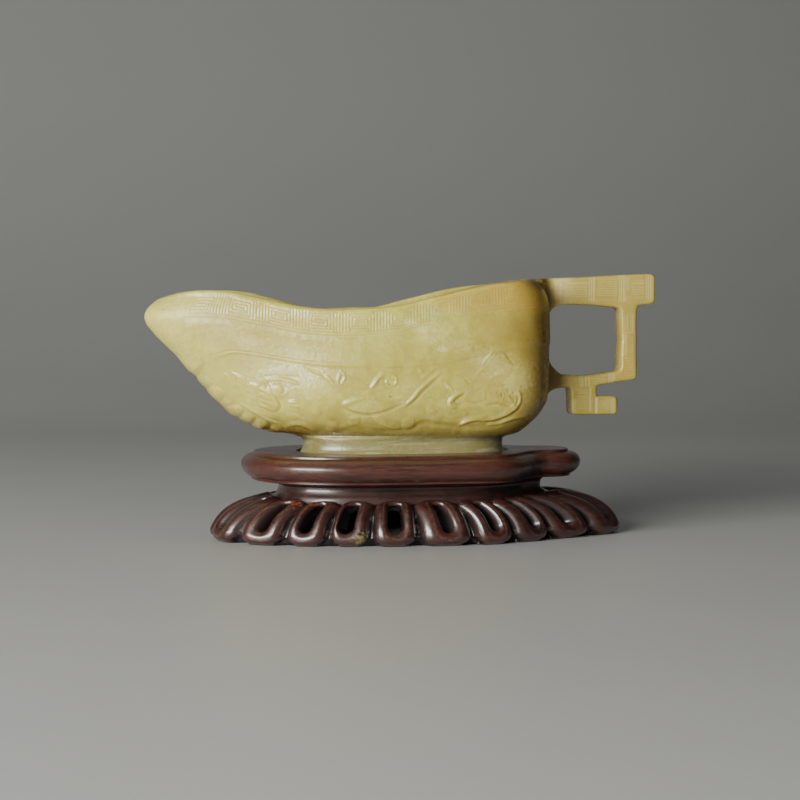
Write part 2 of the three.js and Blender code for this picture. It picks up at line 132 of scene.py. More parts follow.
class Shell:
    """Rings of vertices and the faces between them. Rings are listed along one
    continuous profile, so all faces turn the same way."""

    def __init__(self):
        self.v, self.f, self.n, self.m = [], [], 0, []

    def ring(self, pts, mark=0.0):
        idx = np.arange(self.n, self.n + len(pts))
        self.v.append(np.asarray(pts, float))
        self.m.append(np.zeros(len(pts)) + mark)
        self.n += len(pts)
        return idx

    def band(self, a, b):
        if len(a) == len(b):
            self.f.extend(np.stack([a, b, np.roll(b, -1), np.roll(a, -1)], 1).tolist())
        elif len(a) == 2 * len(b):
            a0, a1, a2, b0, b1 = a[0::2], a[1::2], np.roll(a[0::2], -1), b, np.roll(b, -1)
            self.f.extend(np.stack([a0, b0, a1], 1).tolist())
            self.f.extend(np.stack([a1, b0, b1], 1).tolist())
            self.f.extend(np.stack([a1, b1, a2], 1).tolist())
        elif len(b) == 2 * len(a):
            b0, b1, b2, a0, a1 = b[0::2], b[1::2], np.roll(b[0::2], -1), a, np.roll(a, -1)
            self.f.extend(np.stack([a0, b0, b1], 1).tolist())
            self.f.extend(np.stack([a0, b1, a1], 1).tolist())
            self.f.extend(np.stack([a1, b1, b2], 1).tolist())
        else:
            raise ValueError("rings of %d and %d" % (len(a), len(b)))

    def chain(self, rings):
        for a, b in zip(rings[:-1], rings[1:]):
            self.band(a, b)

    def cap(self, ring, centre, first):
        """Closes the profile's first or last ring with a fan."""
        c = self.n
        self.v.append(np.asarray([centre], float))
        self.m.append(np.zeros(1))
        self.n += 1
        nxt = np.roll(ring, -1)
        cc = np.full(len(ring), c)
        order = [cc, ring, nxt] if first else [ring, cc, nxt]
        self.f.extend(np.stack(order, 1).tolist())

    def verts(self):
        return np.concatenate(self.v)

    def marks(self):
        return np.concatenate(self.m)


def to_object(name, verts, faces, marks=None):
    me = bpy.data.meshes.new(name)
    v = np.asarray(verts, float).copy()
    v[:, 0] -= SHIFT_X
    me.from_pydata((v * MM).tolist(), [], faces)
    me.update()
    me.polygons.foreach_set("use_smooth", np.full(len(me.polygons), True, bool))
    for key, values in (marks or {}).items():
        at = me.attributes.new(key, "FLOAT", "POINT")
        at.data.foreach_set("value", np.asarray(values, np.float32))
    ob = bpy.data.objects.new(name, me)
    bpy.context.scene.collection.objects.link(ob)
    return ob


# ---------------------------------------------------------------------- vessel
NH = 648                       # fine columns from the spout's tip round to the back
CELL = 52                      # fine columns in one repeat of the fret
Z_REF = 72.0
X0_REF, X1_REF = float(spout_x(Z_REF)), float(back_x(Z_REF))


def reference_columns():
    t = np.linspace(0, math.pi, 60001)
    x = X0_REF + (X1_REF - X0_REF) * (1 - np.cos(t)) / 2
    y = vessel_half(x, Z_REF, X0_REF, X1_REF, float(half_w(Z_REF)))
    s = np.concatenate([[0], np.cumsum(np.hypot(np.diff(x), np.diff(y)))])
    at = np.linspace(0, s[-1], NH + 1)
    xs = np.interp(at, s, x)
    xs[0], xs[-1] = X0_REF, X1_REF
    return xs, s[-1]


XREF, HALF_LENGTH = reference_columns()
STEP = HALF_LENGTH / NH


def full(a):
    """From the half outline (tip .. back) to the whole ring's columns."""
    return np.concatenate([a, a[..., -2:0:-1]], axis=-1)


XR = full(XREF)
SIDE = np.concatenate([-np.ones(NH + 1), np.ones(NH - 1)])
ARC = full(np.arange(NH + 1) * STEP)


def outer_at(z, xr, side):
    x0, x1, w = spout_x(z), back_x(z), half_w(z)
    ps = 1 + 3 * smoothstep(54, 70, z)
    pb = 1 + 2 * smoothstep(50, 70, z)
    ts = np.clip(xr / X0_REF, 0, 1)
    tb = np.clip(xr / X1_REF, 0, 1)
    x = xr + (x0 - X0_REF) * ts ** ps + (x1 - X1_REF) * tb ** pb
    x = np.clip(x, x0, x1)
    y = vessel_half(x, z, x0, x1, w)
    return x, side * y


def inner_at(z, xr, side):
    zo = z - 1.2
    slope = (spout_x(zo - 1) - spout_x(zo + 1)) / 2
    x0 = spout_x(zo) + WALL * np.hypot(1, slope) * 0.92
    rnd = np.sqrt(np.clip((z - BOWL_FLOOR_Z) / 14, 0, 1))
    x1 = back_x(zo) - WALL
    w = half_w(zo) - WALL
    cx0 = x0 + (1 - rnd) * (-20 - x0)
    cx1 = x1 + (1 - rnd) * (22 - x1)
    ts = np.clip(xr / X0_REF, 0, 1)
    tb = np.clip(xr / X1_REF, 0, 1)
    x = np.where(xr < 0, cx0 * ts, cx1 * tb)
    x = np.clip(x, cx0, cx1)
    y = vessel_half(x, z, cx0, cx1, w) * (0.3 + 0.7 * rnd)
    return x, side * y


def settle(curve, xr, side, start):
    """Height at which each column meets a curve given over x."""
    z = np.full(len(xr), start, float)
    for _ in range(140):
        x, _y = outer_at(z, xr, side)
        z = 0.55 * z + 0.45 * curve(x)
    return z


def ring_normals(rows):
    """Outward unit normals of a grid of rows x closed columns, rows going down."""
    p = np.asarray(rows)
    dc = np.roll(p, -1, axis=1) - np.roll(p, 1, axis=1)
    dr = np.empty_like(p)
    dr[1:-1] = p[2:] - p[:-2]
    dr[0] = p[1] - p[0]
    dr[-1] = p[-1] - p[-2]
    n = np.cross(dr, dc)
    n /= np.maximum(np.linalg.norm(n, axis=2, keepdims=True), 1e-9)
    return n


# --- incised key fret below the rim, drawn on a grid of 13 by 8 units
U = 13.0


def fret_lines():
    """Incised lines of one repeat: (u0, v0, u1, v1), u along the band, v down
    from the band's top edge. Five uprights stand round u = 0, a squared spiral
    fills the rest."""
    out = [(u, 0.4, u, 6) for u in (0, 1, 2, 11, 12)]
    path = [(3, 6), (10, 6), (10, 1), (3, 1), (3, 5), (9, 5), (9, 2), (4, 2), (4, 4), (8, 4), (8, 3), (5, 3)]
    out += [(p[0], p[1], q[0], q[1]) for p, q in zip(path[:-1], path[1:])]
    out += [(0, 7, 13, 7), (0, 8, 13, 8)]
    return out


FRET_TOP = 1.05                # below the rim, mm
FRET_HEIGHT = 7.4
FRET_ROWS = 24
UNIT_S = CELL * STEP / U
UNIT_V = FRET_HEIGHT / 8


def fret_depth(arc, down, phase, start_arc, end_arc):
    """Depth of the incised lines at an arc length and a distance below the rim."""
    u = np.mod((arc - phase) / UNIT_S, U)
    v = (down - FRET_TOP) / UNIT_V
    best = np.full(np.broadcast(u, v).shape, 9.0)
    for u0, v0, u1, v1 in fret_lines():
        lo_u, hi_u, lo_v, hi_v = min(u0, u1), max(u0, u1), min(v0, v1), max(v0, v1)
        for shift in (-U, 0, U):
            du = np.maximum(np.maximum(lo_u + shift - u, u - hi_u - shift), 0) * UNIT_S
            dv = np.maximum(np.maximum(lo_v - v, v - hi_v), 0) * UNIT_V
            best = np.minimum(best, np.hypot(du, dv))
    line = np.clip(1 - best / 0.30, 0, 1)
    fade = smoothstep(start_arc, start_arc + 1.2, arc) * (1 - smoothstep(end_arc - 0.6, end_arc, arc))
    # worn unevenly: crisp along the dip of the rim, faint towards the handle
    worn = 0.40 + 0.60 * np.exp(-((arc - 64.0) / 30.0) ** 2) + 0.20 * np.exp(-((arc - 26.0) / 9.0) ** 2)
    worn = worn * (0.86 + 0.14 * np.sin(arc * 0.83 + 1.7) * np.sin(arc * 0.31 + 0.4) + 0.10 * np.sin(arc * 2.1 + 2.2 * down))
    return line * fade * np.clip(worn, 0.2, 1.0)


# --- low relief of the lower body, drawn over x and z on the side
RELIEF = [
    # kind, half width, height, points (x, z)
    ("ridge", 0.50, 0.40, [(-45.6, 51.6), (-43.8, 52.0), (-41.4, 51.9), (-39.0, 51.4), (-36.3, 50.7)]),
    ("ridge", 0.40, 0.30, [(-47.7, 49.1), (-46.2, 47.8), (-43.8, 46.9), (-41.1, 46.8), (-39.3, 47.7)]),
    ("groove", 0.35, 0.30, [(-47.7, 49.4), (-46.2, 50.5), (-44.1, 51.0), (-41.7, 50.5), (-39.6, 49.1)]),
    ("ridge", 0.28, 0.28, [(-51.0, 50.3), (-48.3, 49.7)]),
    ("ridge", 0.28, 0.28, [(-50.7, 49.5), (-48.0, 48.9)]),
    ("ridge", 0.28, 0.28, [(-50.4, 48.6), (-48.0, 48.0)]),
    ("ridge", 0.45, 0.45, [(-39.0, 44.6), (-37.5, 44.8), (-36.0, 44.6)]),
    ("ridge", 0.35, 0.30, [(-39.0, 43.5), (-36.0, 43.5)]),
    ("groove", 0.45, 0.40, [(-43.2, 46.6), (-42.3, 45.0), (-41.6, 43.4), (-42.1, 41.8), (-43.6, 41.2), (-45.4, 41.8)]),
    ("ridge", 0.45, 0.35, [(-54.6, 53.1), (-53.1, 52.1), (-51.6, 50.6), (-50.4, 48.4), (-49.1, 45.9), (-47.3, 43.7), (-44.8, 42.4)]),
    ("groove", 0.40, 0.35, [(-47.6, 41.0), (-45.8, 40.1), (-43.3, 38.8), (-41.1, 37.9)]),
    ("ridge", 0.60, 0.45, [(-53.1, 43.8), (-50.6, 42.3), (-48.2, 40.9), (-45.1, 39.1), (-41.9, 37.5)]),
    ("ridge", 0.80, 0.50, [(-39.1, 36.5), (-37.2, 37.4), (-34.8, 37.5), (-32.3, 36.5), (-29.6, 35.3)]),
    ("ridge", 0.85, 0.55, [(-22.3, 44.0), (-20.2, 44.8), (-18.1, 45.6), (-15.9, 46.0)]),
    ("groove", 0.50, 0.45, [(-22.6, 43.2), (-20.4, 42.0), (-17.6, 41.0), (-13.8, 40.6), (-10.1, 41.3), (-7.0, 42.5), (-3.9, 44.0)]),
    ("ridge", 0.35, 0.30, [(-23.9, 50.4), (-24.0, 52.0), (-23.3, 53.5), (-22.2, 53.5), (-22.1, 52.0), (-23.0, 50.4)]),
    ("ridge", 0.65, 0.55, [(-13.7, 49.1), (-12.2, 51.3), (-10.6, 53.2), (-9.4, 53.8)]),
    ("ridge", 0.38, 0.35, [(-9.4, 53.5), (-7.5, 53.2), (-5.9, 51.9), (-6.2, 50.3), (-7.8, 49.7), (-9.1, 50.7), (-8.5, 51.8), (-7.4, 51.4)]),
    ("groove", 0.35, 0.30, [(-9.1, 49.0), (-6.9, 49.4), (-4.6, 50.0)]),
    ("ridge", 0.38, 0.35, [(-3.4, 49.7), (-1.8, 49.4), (0.4, 49.7)]),
    ("ridge", 0.42, 0.45, [(-3.2, 43.4), (-0.8, 45.9), (1.7, 48.6), (4.8, 51.4), (8.0, 54.0)]),
    ("ridge", 0.38, 0.38, [(-2.3, 43.9), (-0.4, 45.7), (1.4, 47.3)]),
    ("groove", 0.38, 0.35, [(-2.2, 42.9), (0.2, 45.1), (3.0, 48.1), (5.8, 50.6), (8.3, 52.7)]),
    ("ridge", 0.30, 0.30, [(1.0, 55.0), (2.6, 53.9)]),
    ("ridge", 0.65, 0.60, [(15.1, 47.5), (13.2, 46.6), (11.7, 45.3), (11.1, 44.2), (11.8, 43.1), (13.4, 42.8)]),
    ("groove", 0.42, 0.40, [(16.1, 47.0), (14.2, 45.9), (13.0, 44.8), (13.3, 43.9), (15.0, 43.6)]),
    ("ridge", 0.60, 0.60, [(33.6, 47.2), (34.0, 45.3), (33.4, 43.5), (31.6, 41.6), (29.0, 40.2), (26.2, 39.1), (22.7, 38.7), (18.8, 38.6), (15.4, 37.5)]),
    ("ridge", 0.38, 0.35, [(32.5, 45.6), (32.4, 44.0), (30.8, 42.3), (28.7, 41.0)]),
    ("groove", 0.50, 0.50, [(34.8, 43.7), (33.3, 41.4), (30.4, 39.5), (27.3, 38.3), (23.5, 37.7)]),
    ("ridge", 0.65, 0.55, [(37.1, 39.5), (33.9, 39.3), (30.6, 38.6), (27.7, 37.5), (24.2, 37.0)]),
    ("groove", 0.42, 0.40, [(23.0, 43.0), (24.6, 43.6), (26.9, 43.8), (29.2, 43.1), (31.2, 42.1)]),
    ("ridge", 0.60, 0.55, [(14.9, 36.8), (16.3, 38.1), (18.5, 39.0), (21.3, 39.5), (23.5, 40.1)]),
    ("ridge", 0.42, 0.35, [(21.4, 56.1), (23.0, 58.3), (24.9, 60.3)]),
    ("groove", 0.42, 0.35, [(28.4, 60.1), (30.0, 57.9), (31.7, 55.7)]),
    ("ridge", 0.32, 0.25, [(22.4, 55.5), (23.9, 57.7), (25.8, 59.8)]),
    ("groove", 0.32, 0.25, [(18.3, 47.8), (20.6, 48.4), (22.2, 48.7)]),
    ("ridge", 0.42, 0.40, [(-12.5, 39.4), (-10.4, 37.9), (-7.4, 36.6), (-4.2, 35.9)]),
    ("ridge", 0.36, 0.30, [(-10.9, 39.5), (-8.6, 38.0), (-5.9, 37.0)]),
    # hair lines beside the eye, and the wavy edge below the figures
    ("groove", 0.26, 0.24, [(-51.7, 49.2), (-48.6, 48.2), (-45.4, 47.3), (-42.6, 46.3)]),
    ("groove", 0.26, 0.24, [(-52.0, 47.7), (-49.2, 46.4), (-46.1, 45.4), (-43.3, 44.5)]),
    ("groove", 0.26, 0.24, [(-51.4, 45.8), (-48.6, 44.5), (-45.4, 43.6)]),
    ("groove", 0.26, 0.24, [(-50.4, 43.9), (-47.3, 42.6), (-44.5, 41.7)]),
    ("ridge", 0.34, 0.30, [(-48.9, 41.4), (-46.3, 40.6), (-44.5, 39.6), (-42.9, 38.7)]),
    ("ridge", 0.34, 0.36, [(-39.2, 44.6), (-36.7, 44.6)]),
    ("groove", 0.85, 0.26, [(-24.0, 34.7), (-20.8, 35.5), (-17.6, 36.1), (-14.4, 35.7), (-10.3, 35.2), (-5.8, 35.3), (-2.0, 35.6),
                            (0.3, 35.9), (2.2, 37.6), (4.5, 38.0), (7.0, 37.4), (11.2, 37.0), (15.4, 36.5), (20.0, 36.3),
                            (24.5, 36.5), (29.1, 37.3)]),
    ("ridge", 0.34, 0.34, [(30.0, 45.7), (31.7, 43.8), (33.0, 41.9)]),
    ("groove", 0.26, 0.24, [(-33.0, 55.0), (-29.0, 53.2), (-26.0, 50.6)]),
    ("groove", 0.26, 0.22, [(-20.6, 52.6), (-17.0, 51.6), (-14.4, 49.6)]),
    ("groove", 0.26, 0.22, [(12.4, 53.6), (15.4, 52.2), (17.6, 50.0)]),
    ("groove", 0.24, 0.22, [(-38.4, 41.6), (-35.6, 40.6), (-33.4, 39.2)]),
    ("ridge", 0.30, 0.30, [(-58.6, 53.6), (-56.6, 51.6), (-55.2, 49.4)]),
    ("ridge", 0.30, 0.28, [(-56.4, 54.0), (-54.2, 52.4), (-52.8, 50.4)]),
    ("ridge", 0.30, 0.32, [(-30.4, 52.6), (-27.4, 52.4), (-25.6, 51.0)]),
    ("ridge", 0.30, 0.30, [(2.2, 52.4), (4.2, 53.6), (6.0, 55.2)]),
    ("ridge", 0.28, 0.28, [(9.6, 50.4), (11.4, 49.2), (12.2, 47.4)]),
    ("ridge", 0.28, 0.28, [(19.6, 53.2), (21.4, 54.6), (23.0, 54.8)]),
    ("ridge", 0.28, 0.26, [(24.6, 52.0), (27.0, 53.4), (29.8, 53.2)]),
    ("ridge", 0.30, 0.28, [(-16.8, 47.6), (-14.4, 47.9), (-12.4, 47.2)]),
    ("groove", 0.26, 0.26, [(16.6, 44.8), (19.2, 44.2), (21.8, 44.6), (24.0, 45.6)]),
]
BOSSES = [
    # x, z, radius, height
    (-42.6, 48.6, 2.0, 0.75), (-45.5, 49.7, 0.9, -0.50), (-30.4, 41.5, 1.5, 0.55), (-25.0, 36.6, 1.9, 0.70),
    (-18.6, 38.7, 1.9, 0.60), (-1.6, 37.8, 2.2, 0.75), (5.1, 41.9, 1.3, 0.55), (-12.8, 45.9, 0.8, 0.35),
    (-10.3, 50.4, 0.9, 0.40), (22.2, 46.3, 0.7, 0.35), (23.8, 46.6, 0.7, 0.35), (33.2, 46.9, 0.7, 0.50),
    (-45.8, 36.9, 1.2, 0.40), (14.0, 34.8, 1.3, 0.30),
    # the knobbed edge under the spout
    (-68.5, 54.2, 3.0, 1.05), (-64.8, 50.0, 2.6, 0.85), (-60.9, 46.2, 2.9, 1.15), (-57.6, 43.2, 2.0, 0.75),
    (-54.6, 40.9, 2.5, 1.05), (-50.6, 38.6, 2.2, 0.90), (-46.2, 36.6, 2.4, 0.95), (-41.6, 35.3, 2.0, 0.60),
    (16.4, 40.8, 0.8, 0.45), (18.7, 49.3, 0.9, -0.30), (28.4, 49.8, 0.7, -0.35), (30.0, 47.9, 0.7, -0.40), (26.8, 47.3, 0.8, -0.35),
    (31.0, 46.0, 0.7, -0.35), (28.1, 45.4, 0.6, 0.30), (-7.6, 50.4, 0.6, 0.30), (6.4, 41.5, 0.9, 0.50),
]
LINE = smooth_table([[-84, 44.0], [-72, 50.8], [-68.0, 54.9], [-65.4, 57.3], [-62.2, 59.0], [-58.9, 60.1], [-55.9, 60.6],
                     [-52.0, 60.3], [-48.3, 59.7], [-41.3, 58.5], [-35.3, 57.6], [-27.8, 56.8], [-20.2, 56.5],
                     [-12.5, 56.4], [-4.7, 56.6], [1.6, 56.9], [7.9, 57.6], [14.3, 58.6], [19.1, 59.7],
                     [27.1, 61.1], [33.6, 62.3], [40, 63.0], [48, 63.2]])


def stroke_distance(x, z, pts):
    best = np.full(x.shape, 99.0)
    along = np.zeros(x.shape)
    p = np.asarray(pts, float)
    seg = np.hypot(*np.diff(p, axis=0).T)
    total, run = seg.sum(), 0.0
    for (a, b, l) in zip(p[:-1], p[1:], seg):
        d = (b - a) / l
        t = np.clip((x - a[0]) * d[0] + (z - a[1]) * d[1], 0, l)
        r = np.hypot(x - a[0] - d[0] * t, z - a[1] - d[1] * t)
        near = r < best
        best = np.where(near, r, best)
        along = np.where(near, (run + t) / total, along)
        run += l
    return best, along


def smooth_points(pts, n=6):
    """A denser version of a stroke, through the same points."""
    p = np.asarray(pts, float)
    if len(p) < 3:
        return p
    q = np.concatenate([[2 * p[0] - p[1]], p, [2 * p[-1] - p[-2]]])
    out = []
    for i in range(1, len(q) - 2):
        for t in np.linspace(0, 1, n, endpoint=False):
            out.append(0.5 * (2 * q[i] + (q[i + 1] - q[i - 1]) * t
                              + (2 * q[i - 1] - 5 * q[i] + 4 * q[i + 1] - q[i + 2]) * t ** 2
                              + (-q[i - 1] + 3 * q[i] - 3 * q[i + 1] + q[i + 2]) * t ** 3))
    out.append(p[-1])
    return np.asarray(out)


def teeth_height(x, z):
    """A row of fine teeth over the brow, one to every third column."""
    column = (np.arange(x.shape[1]) % 3 == 0)[None, :]
    return np.where((x > -46.6) & (x < -36.3) & column, np.exp(-((z - 53.76) / 0.55) ** 4), 0)


def relief_height(x, z):
    h = np.zeros(x.shape)
    for kind, w, amp, pts in RELIEF:
        near = ((x > min(p[0] for p in pts) - 3) & (x < max(p[0] for p in pts) + 3)
                & (z > min(p[1] for p in pts) - 3) & (z < max(p[1] for p in pts) + 3))
        if not near.any():
            continue
        d, along = stroke_distance(x[near], z[near], smooth_points(pts))
        taper = 0.35 + 0.65 * np.sqrt(np.clip(4 * along * (1 - along), 0, 1))
        wide = np.maximum(0.30, w * 0.85) * (0.6 + 0.4 * taper)
        e = np.clip(1 - (d / (wide * 1.4)) ** 2, 0, 1) ** 1.1
        if kind == "ridge":
            h[near] += amp * taper * e
        else:
            h[near] -= 0.9 * amp * taper * e
    for bx, bz, r, amp in BOSSES:
        d = np.hypot(x - bx, z - bz) / r
        dome = np.sqrt(np.clip(1 - d ** 2, 0, 1)) * amp
        h += (0.6 if bx < -40 else 0.42) * dome
    return h + 0.65 * teeth_height(x, z)


def build_vessel():
    sh = Shell()
    zr = settle(rim_z, XR, SIDE, 78.0)
    # the far side of the rim was cut a little lower along the rise
    at_x = outer_at(zr, XR, SIDE)[0]
    zr = zr - 0.8 * (SIDE > 0) * smoothstep(-14, -3, at_x) * (1 - smoothstep(35, 45, at_x))

    # outer face, full density: edge rounding, then the fret band
    edge = 1.0
    fine = []
    insets = []
    for a in (90, 66, 44, 24, 8):
        t = math.radians(a)
        fine.append(zr - edge * (1 - math.sin(t)))
        insets.append(edge * (1 - math.cos(t)))
    for d in FRET_TOP + np.arange(0, FRET_ROWS + 1) * FRET_HEIGHT / FRET_ROWS:
        fine.append(zr - d)
        insets.append(0.0)
    fine.append(zr - (FRET_TOP + FRET_HEIGHT + 0.35))
    insets.append(0.0)
    rows = []
    for z in fine:
        x, y = outer_at(z, XR, SIDE)
        rows.append(np.stack([x, y, z], 1))
    rows = np.array(rows)
    nrm = ring_normals(rows)
    flat = nrm.copy()
    flat[:, :, 2] = 0
    flat /= np.maximum(np.linalg.norm(flat, axis=2, keepdims=True), 1e-9)
    down = zr[None, :] - rows[:, :, 2]
    # the rounded edge leans inwards
    rows = rows - flat * np.asarray(insets)[:, None, None]
    # the fret
    phase = 29.3
    near_arc = np.broadcast_to(ARC[None, :], down.shape)
    cut = fret_depth(near_arc, down, round(phase / STEP) * STEP, 17.5, HALF_LENGTH - 9.5)
    cut[:5] = 0
    rows = rows - nrm * (0.24 * cut)[:, :, None]

    # outer face: plain wall, the double line, the relief, the turn under
    xr, sd = XR, SIDE
    zt = zr - (FRET_TOP + FRET_HEIGHT + 0.35)
    zl = settle(LINE, xr, sd, 57.0)
    zl = np.minimum(zl, zt - 2.4)
    coarse = []
    top_to_line = 4
    for k in range(1, top_to_line + 1):
        coarse.append(lerp(zt, zl + 1.0, k / top_to_line))
    for k in range(1, 12):
        coarse.append(zl + 1.0 - k * 0.25)
    z0 = zl - 1.75
    low_rows = 60
    for k in range(1, low_rows + 1):
        t = k / low_rows
        coarse.append(lerp(z0, 33.6, 1 - (1 - t) ** 1.3))
    crow = []
    for z in coarse:
        x, y = outer_at(z, xr, sd)
        crow.append(np.stack([x, y, z], 1))
    crow = np.array(crow)
    with_top = np.concatenate([rows[-1:], crow])
    cn = ring_normals(with_top)[1:]
    x, z = crow[:, :, 0], crow[:, :, 2]
    off = z - zl[None, :]
    h = relief_height(x, z)
    # two incised lines over the relief; the second one only along the middle
    groove = np.exp(-(off / 0.30) ** 2)
    second = np.exp(-((off + 1.0) / 0.30) ** 2)
    fade1 = smoothstep(-72, -60, x) * (1 - 0.55 * smoothstep(-40, -25, x)) * (1 - smoothstep(8, 30, x))
    fade2 = smoothstep(-62, -56, x) * (1 - 0.6 * smoothstep(-42, -30, x)) * (1 - smoothstep(0, 12, x))
    h -= 0.14 * groove * fade1 + 0.12 * second * fade2
    # the carved ground lies a little lower than the plain wall
    h -= 0.30 * smoothstep(0.2, 1.6, -off) * smoothstep(34.5, 37.5, z)
    h *= smoothstep(33.2, 34.6, z)
    crow = crow + cn * h[:, :, None]
    cmark = 2.0 * teeth_height(x, z) - np.clip(-(h + 0.30) / 0.4, 0, 1)

    # inside: over the rim, down the wall and across the floor
    inner = []
    lip_out = rows[0]
    flat0 = flat[0]
    # quarter round on the inner edge
    r_in = 0.8
    for a in (8, 30, 60, 90):
        t = math.radians(a)
        zz = zr - r_in * (1 - math.sin(t))
        x, y = inner_at(zz, XR, SIDE)
        p = np.stack([x, y, zz], 1)
        p[:, :2] += (flat0[:, :2]) * r_in * (1 - math.cos(t))
        inner.append(p)
    # a flat land joins the two roundings
    land = [lerp(inner[-1], lip_out, 0.5)]

    q = 8
    xq, sq = XR[::q], SIDE[::q]
    zq = zr[::q] - 1.3
    deep = []
    n_wall = 13
    for k in range(0, n_wall + 1):
        t = k / n_wall
        deep.append(lerp(52.5, zq, t))
    floor = []
    n_floor = 11
    for k in range(1, n_floor + 1):
        r = k / n_floor
        floor.append(BOWL_FLOOR_Z + 14 * r * r)
    centre = np.array([1.0, 0.0, BOWL_FLOOR_Z])
    rings_in = []
    for zz in floor[:-1]:
        x, y = inner_at(np.full(len(xq), zz), xq, sq)
        rings_in.append(np.stack([x, y, np.full(len(xq), zz)], 1))
    for zz in deep:
        x, y = inner_at(zz, xq, sq)
        rings_in.append(np.stack([x, y, zz], 1))
    x, y = inner_at(np.full(len(xq), BOWL_FLOOR_Z), xq, sq)
    flat_floor = np.stack([x, y, np.full(len(xq), BOWL_FLOOR_Z)], 1)
    bottom = [lerp(centre, flat_floor, s) for s in (0.12, 0.35, 0.6, 0.82, 1.0)]

    # foot, quarter density
    body_low = crow[-1][::4]
    seg = np.hypot(*(np.roll(body_low[:, :2], -1, axis=0) - body_low[:, :2]).T)
    share = np.concatenate([[0], np.cumsum(seg)])[:-1] / seg.sum()

    foot_rows = []
    for d, z, mix in ((1.0, 33.0, 0.55), (0.55, 32.45, 0.85), (0.25, 31.9, 1.0), (0.1, 31.2, 1.0), (0.05, 30.4, 1.0),
                      (0.10, 29.5, 1.0), (0.28, 28.7, 1.0), (0.62, 28.05, 1.0), (0.98, 27.6, 1.0), (1.1, 27.2, 1.0),
                      (1.02, 26.8, 1.0), (0.7, 26.6, 1.0)):
        target = foot_outline(d, z, share)
        if mix < 1:
            body = body_low.copy()
            body[:, 2] = z
            target = lerp(body, target, mix)
            target[:, 2] = z
        foot_rows.append(target)
    share_q = share[::2]
    under = [foot_outline(-0.6, 26.6, share_q), foot_outline(FOOT_FLARE - FOOT_RING_WIDTH + 0.5, 26.6, share_q),
             foot_outline(FOOT_FLARE - FOOT_RING_WIDTH, 26.9, share_q),
             foot_outline(FOOT_FLARE - FOOT_RING_WIDTH, FOOT_BOTTOM_Z + FOOT_RECESS_DEPTH - 0.4, share_q),
             foot_outline(FOOT_FLARE - FOOT_RING_WIDTH - 0.5, FOOT_BOTTOM_Z + FOOT_RECESS_DEPTH, share_q)]
    last = under[-1]
    mid = np.array([0.9, 0.0, FOOT_BOTTOM_Z + FOOT_RECESS_DEPTH])
    under += [lerp(mid, last, s) for s in (0.75, 0.45, 0.15)]

    # one profile: floor, inner wall, rim, outer wall, foot, recess
    rings = [sh.ring(p) for p in bottom] + [sh.ring(p) for p in rings_in]
    sh.cap(rings[0], centre, True)
    for k, drop in ((4, 1.18), (2, 1.0)):
        z = zr[::k] - drop
        rings.append(sh.ring(np.stack([*inner_at(z, XR[::k], SIDE[::k]), z], 1)))
    rings += [sh.ring(p[::2]) for p in inner] + [sh.ring(p[::2]) for p in land] + [sh.ring(p[::2]) for p in rows[:5]]
    rings += [sh.ring(p, m) for p, m in zip(rows[5:], cut[5:])] + [sh.ring(p, m) for p, m in zip(crow[:-2], cmark[:-2])]
    rings += [sh.ring(p[::2]) for p in crow[-2:]]
    rings += [sh.ring(p) for p in foot_rows]
    rings += [sh.ring(p) for p in under]
    sh.chain(rings)
    sh.cap(rings[-1], mid, False)
    return to_object("vessel_body", sh.verts(), sh.f, {"carve": sh.marks()})


# ---------------------------------------------------------------------- handle
HANDLE_OUTLINE = [
    (41.4, 82.35), (42.6, 82.75), (44.2, 83.1), (46.5, 83.3), (49.5, 83.45), (52.8, 83.6), (59.5, 83.8), (66.2, 84.22), (72.8, 84.6), (79.5, 84.92), (83.3, 85.0),
    (84.4, 84.65), (84.9, 83.8), (84.9, 76.4), (84.5, 75.5), (83.4, 75.0),
    (80.6, 74.75), (79.0, 74.4), (78.75, 73.6), (78.5, 68.5), (78.7, 64.2), (78.6, 61.0), (78.7, 57.0), (78.75, 51.2), (78.4, 50.5), (77.6, 50.15),
    (75.0, 49.85), (72.6, 49.55), (68.8, 48.95), (65.4, 48.35), (65.1, 47.9), (65.1, 45.3), (65.35, 45.0), (70.8, 44.85), (71.8, 44.5),
    (72.2, 43.7), (72.2, 39.9), (71.8, 39.1), (71.0, 38.8), (64.0, 38.75), (57.7, 38.75), (56.9, 39.0), (56.5, 39.8), (56.3, 44.0), (56.1, 47.2), (55.5, 47.8),
    (53.5, 47.75), (51.5, 47.5), (49.9, 46.9), (48.6, 45.9), (47.6, 44.4), (44.2, 43.6),
    (44.2, 78.6), (42.3, 80.6), (41.4, 81.6)]
HANDLE_WINDOW = [(53, 74.8), (58, 74.85), (64, 74.65), (69, 74.15), (71.6, 73.95), (72.6, 73.5), (73.0, 72.4), (73.2, 67.0), (73.45, 63.2), (73.2, 60.0),
                 (73.1, 54.6), (72.7, 53.5), (71.7, 52.9), (67.5, 52.3), (63, 51.75), (59.5, 51.6), (56.2, 51.85),
                 (54.3, 52.0), (52.9, 52.2), (51.4, 53.4), (49.9, 55.0), (49.0, 56.6), (48.5, 58.4), (48.2, 60.2), (48.0, 62), (47.95, 64), (47.95, 68.5), (48.25, 70.4), (48.9, 72),
                 (49.8, 73.2), (50.9, 74.1), (52, 74.6)]
HANDLE_HALF = 3.8


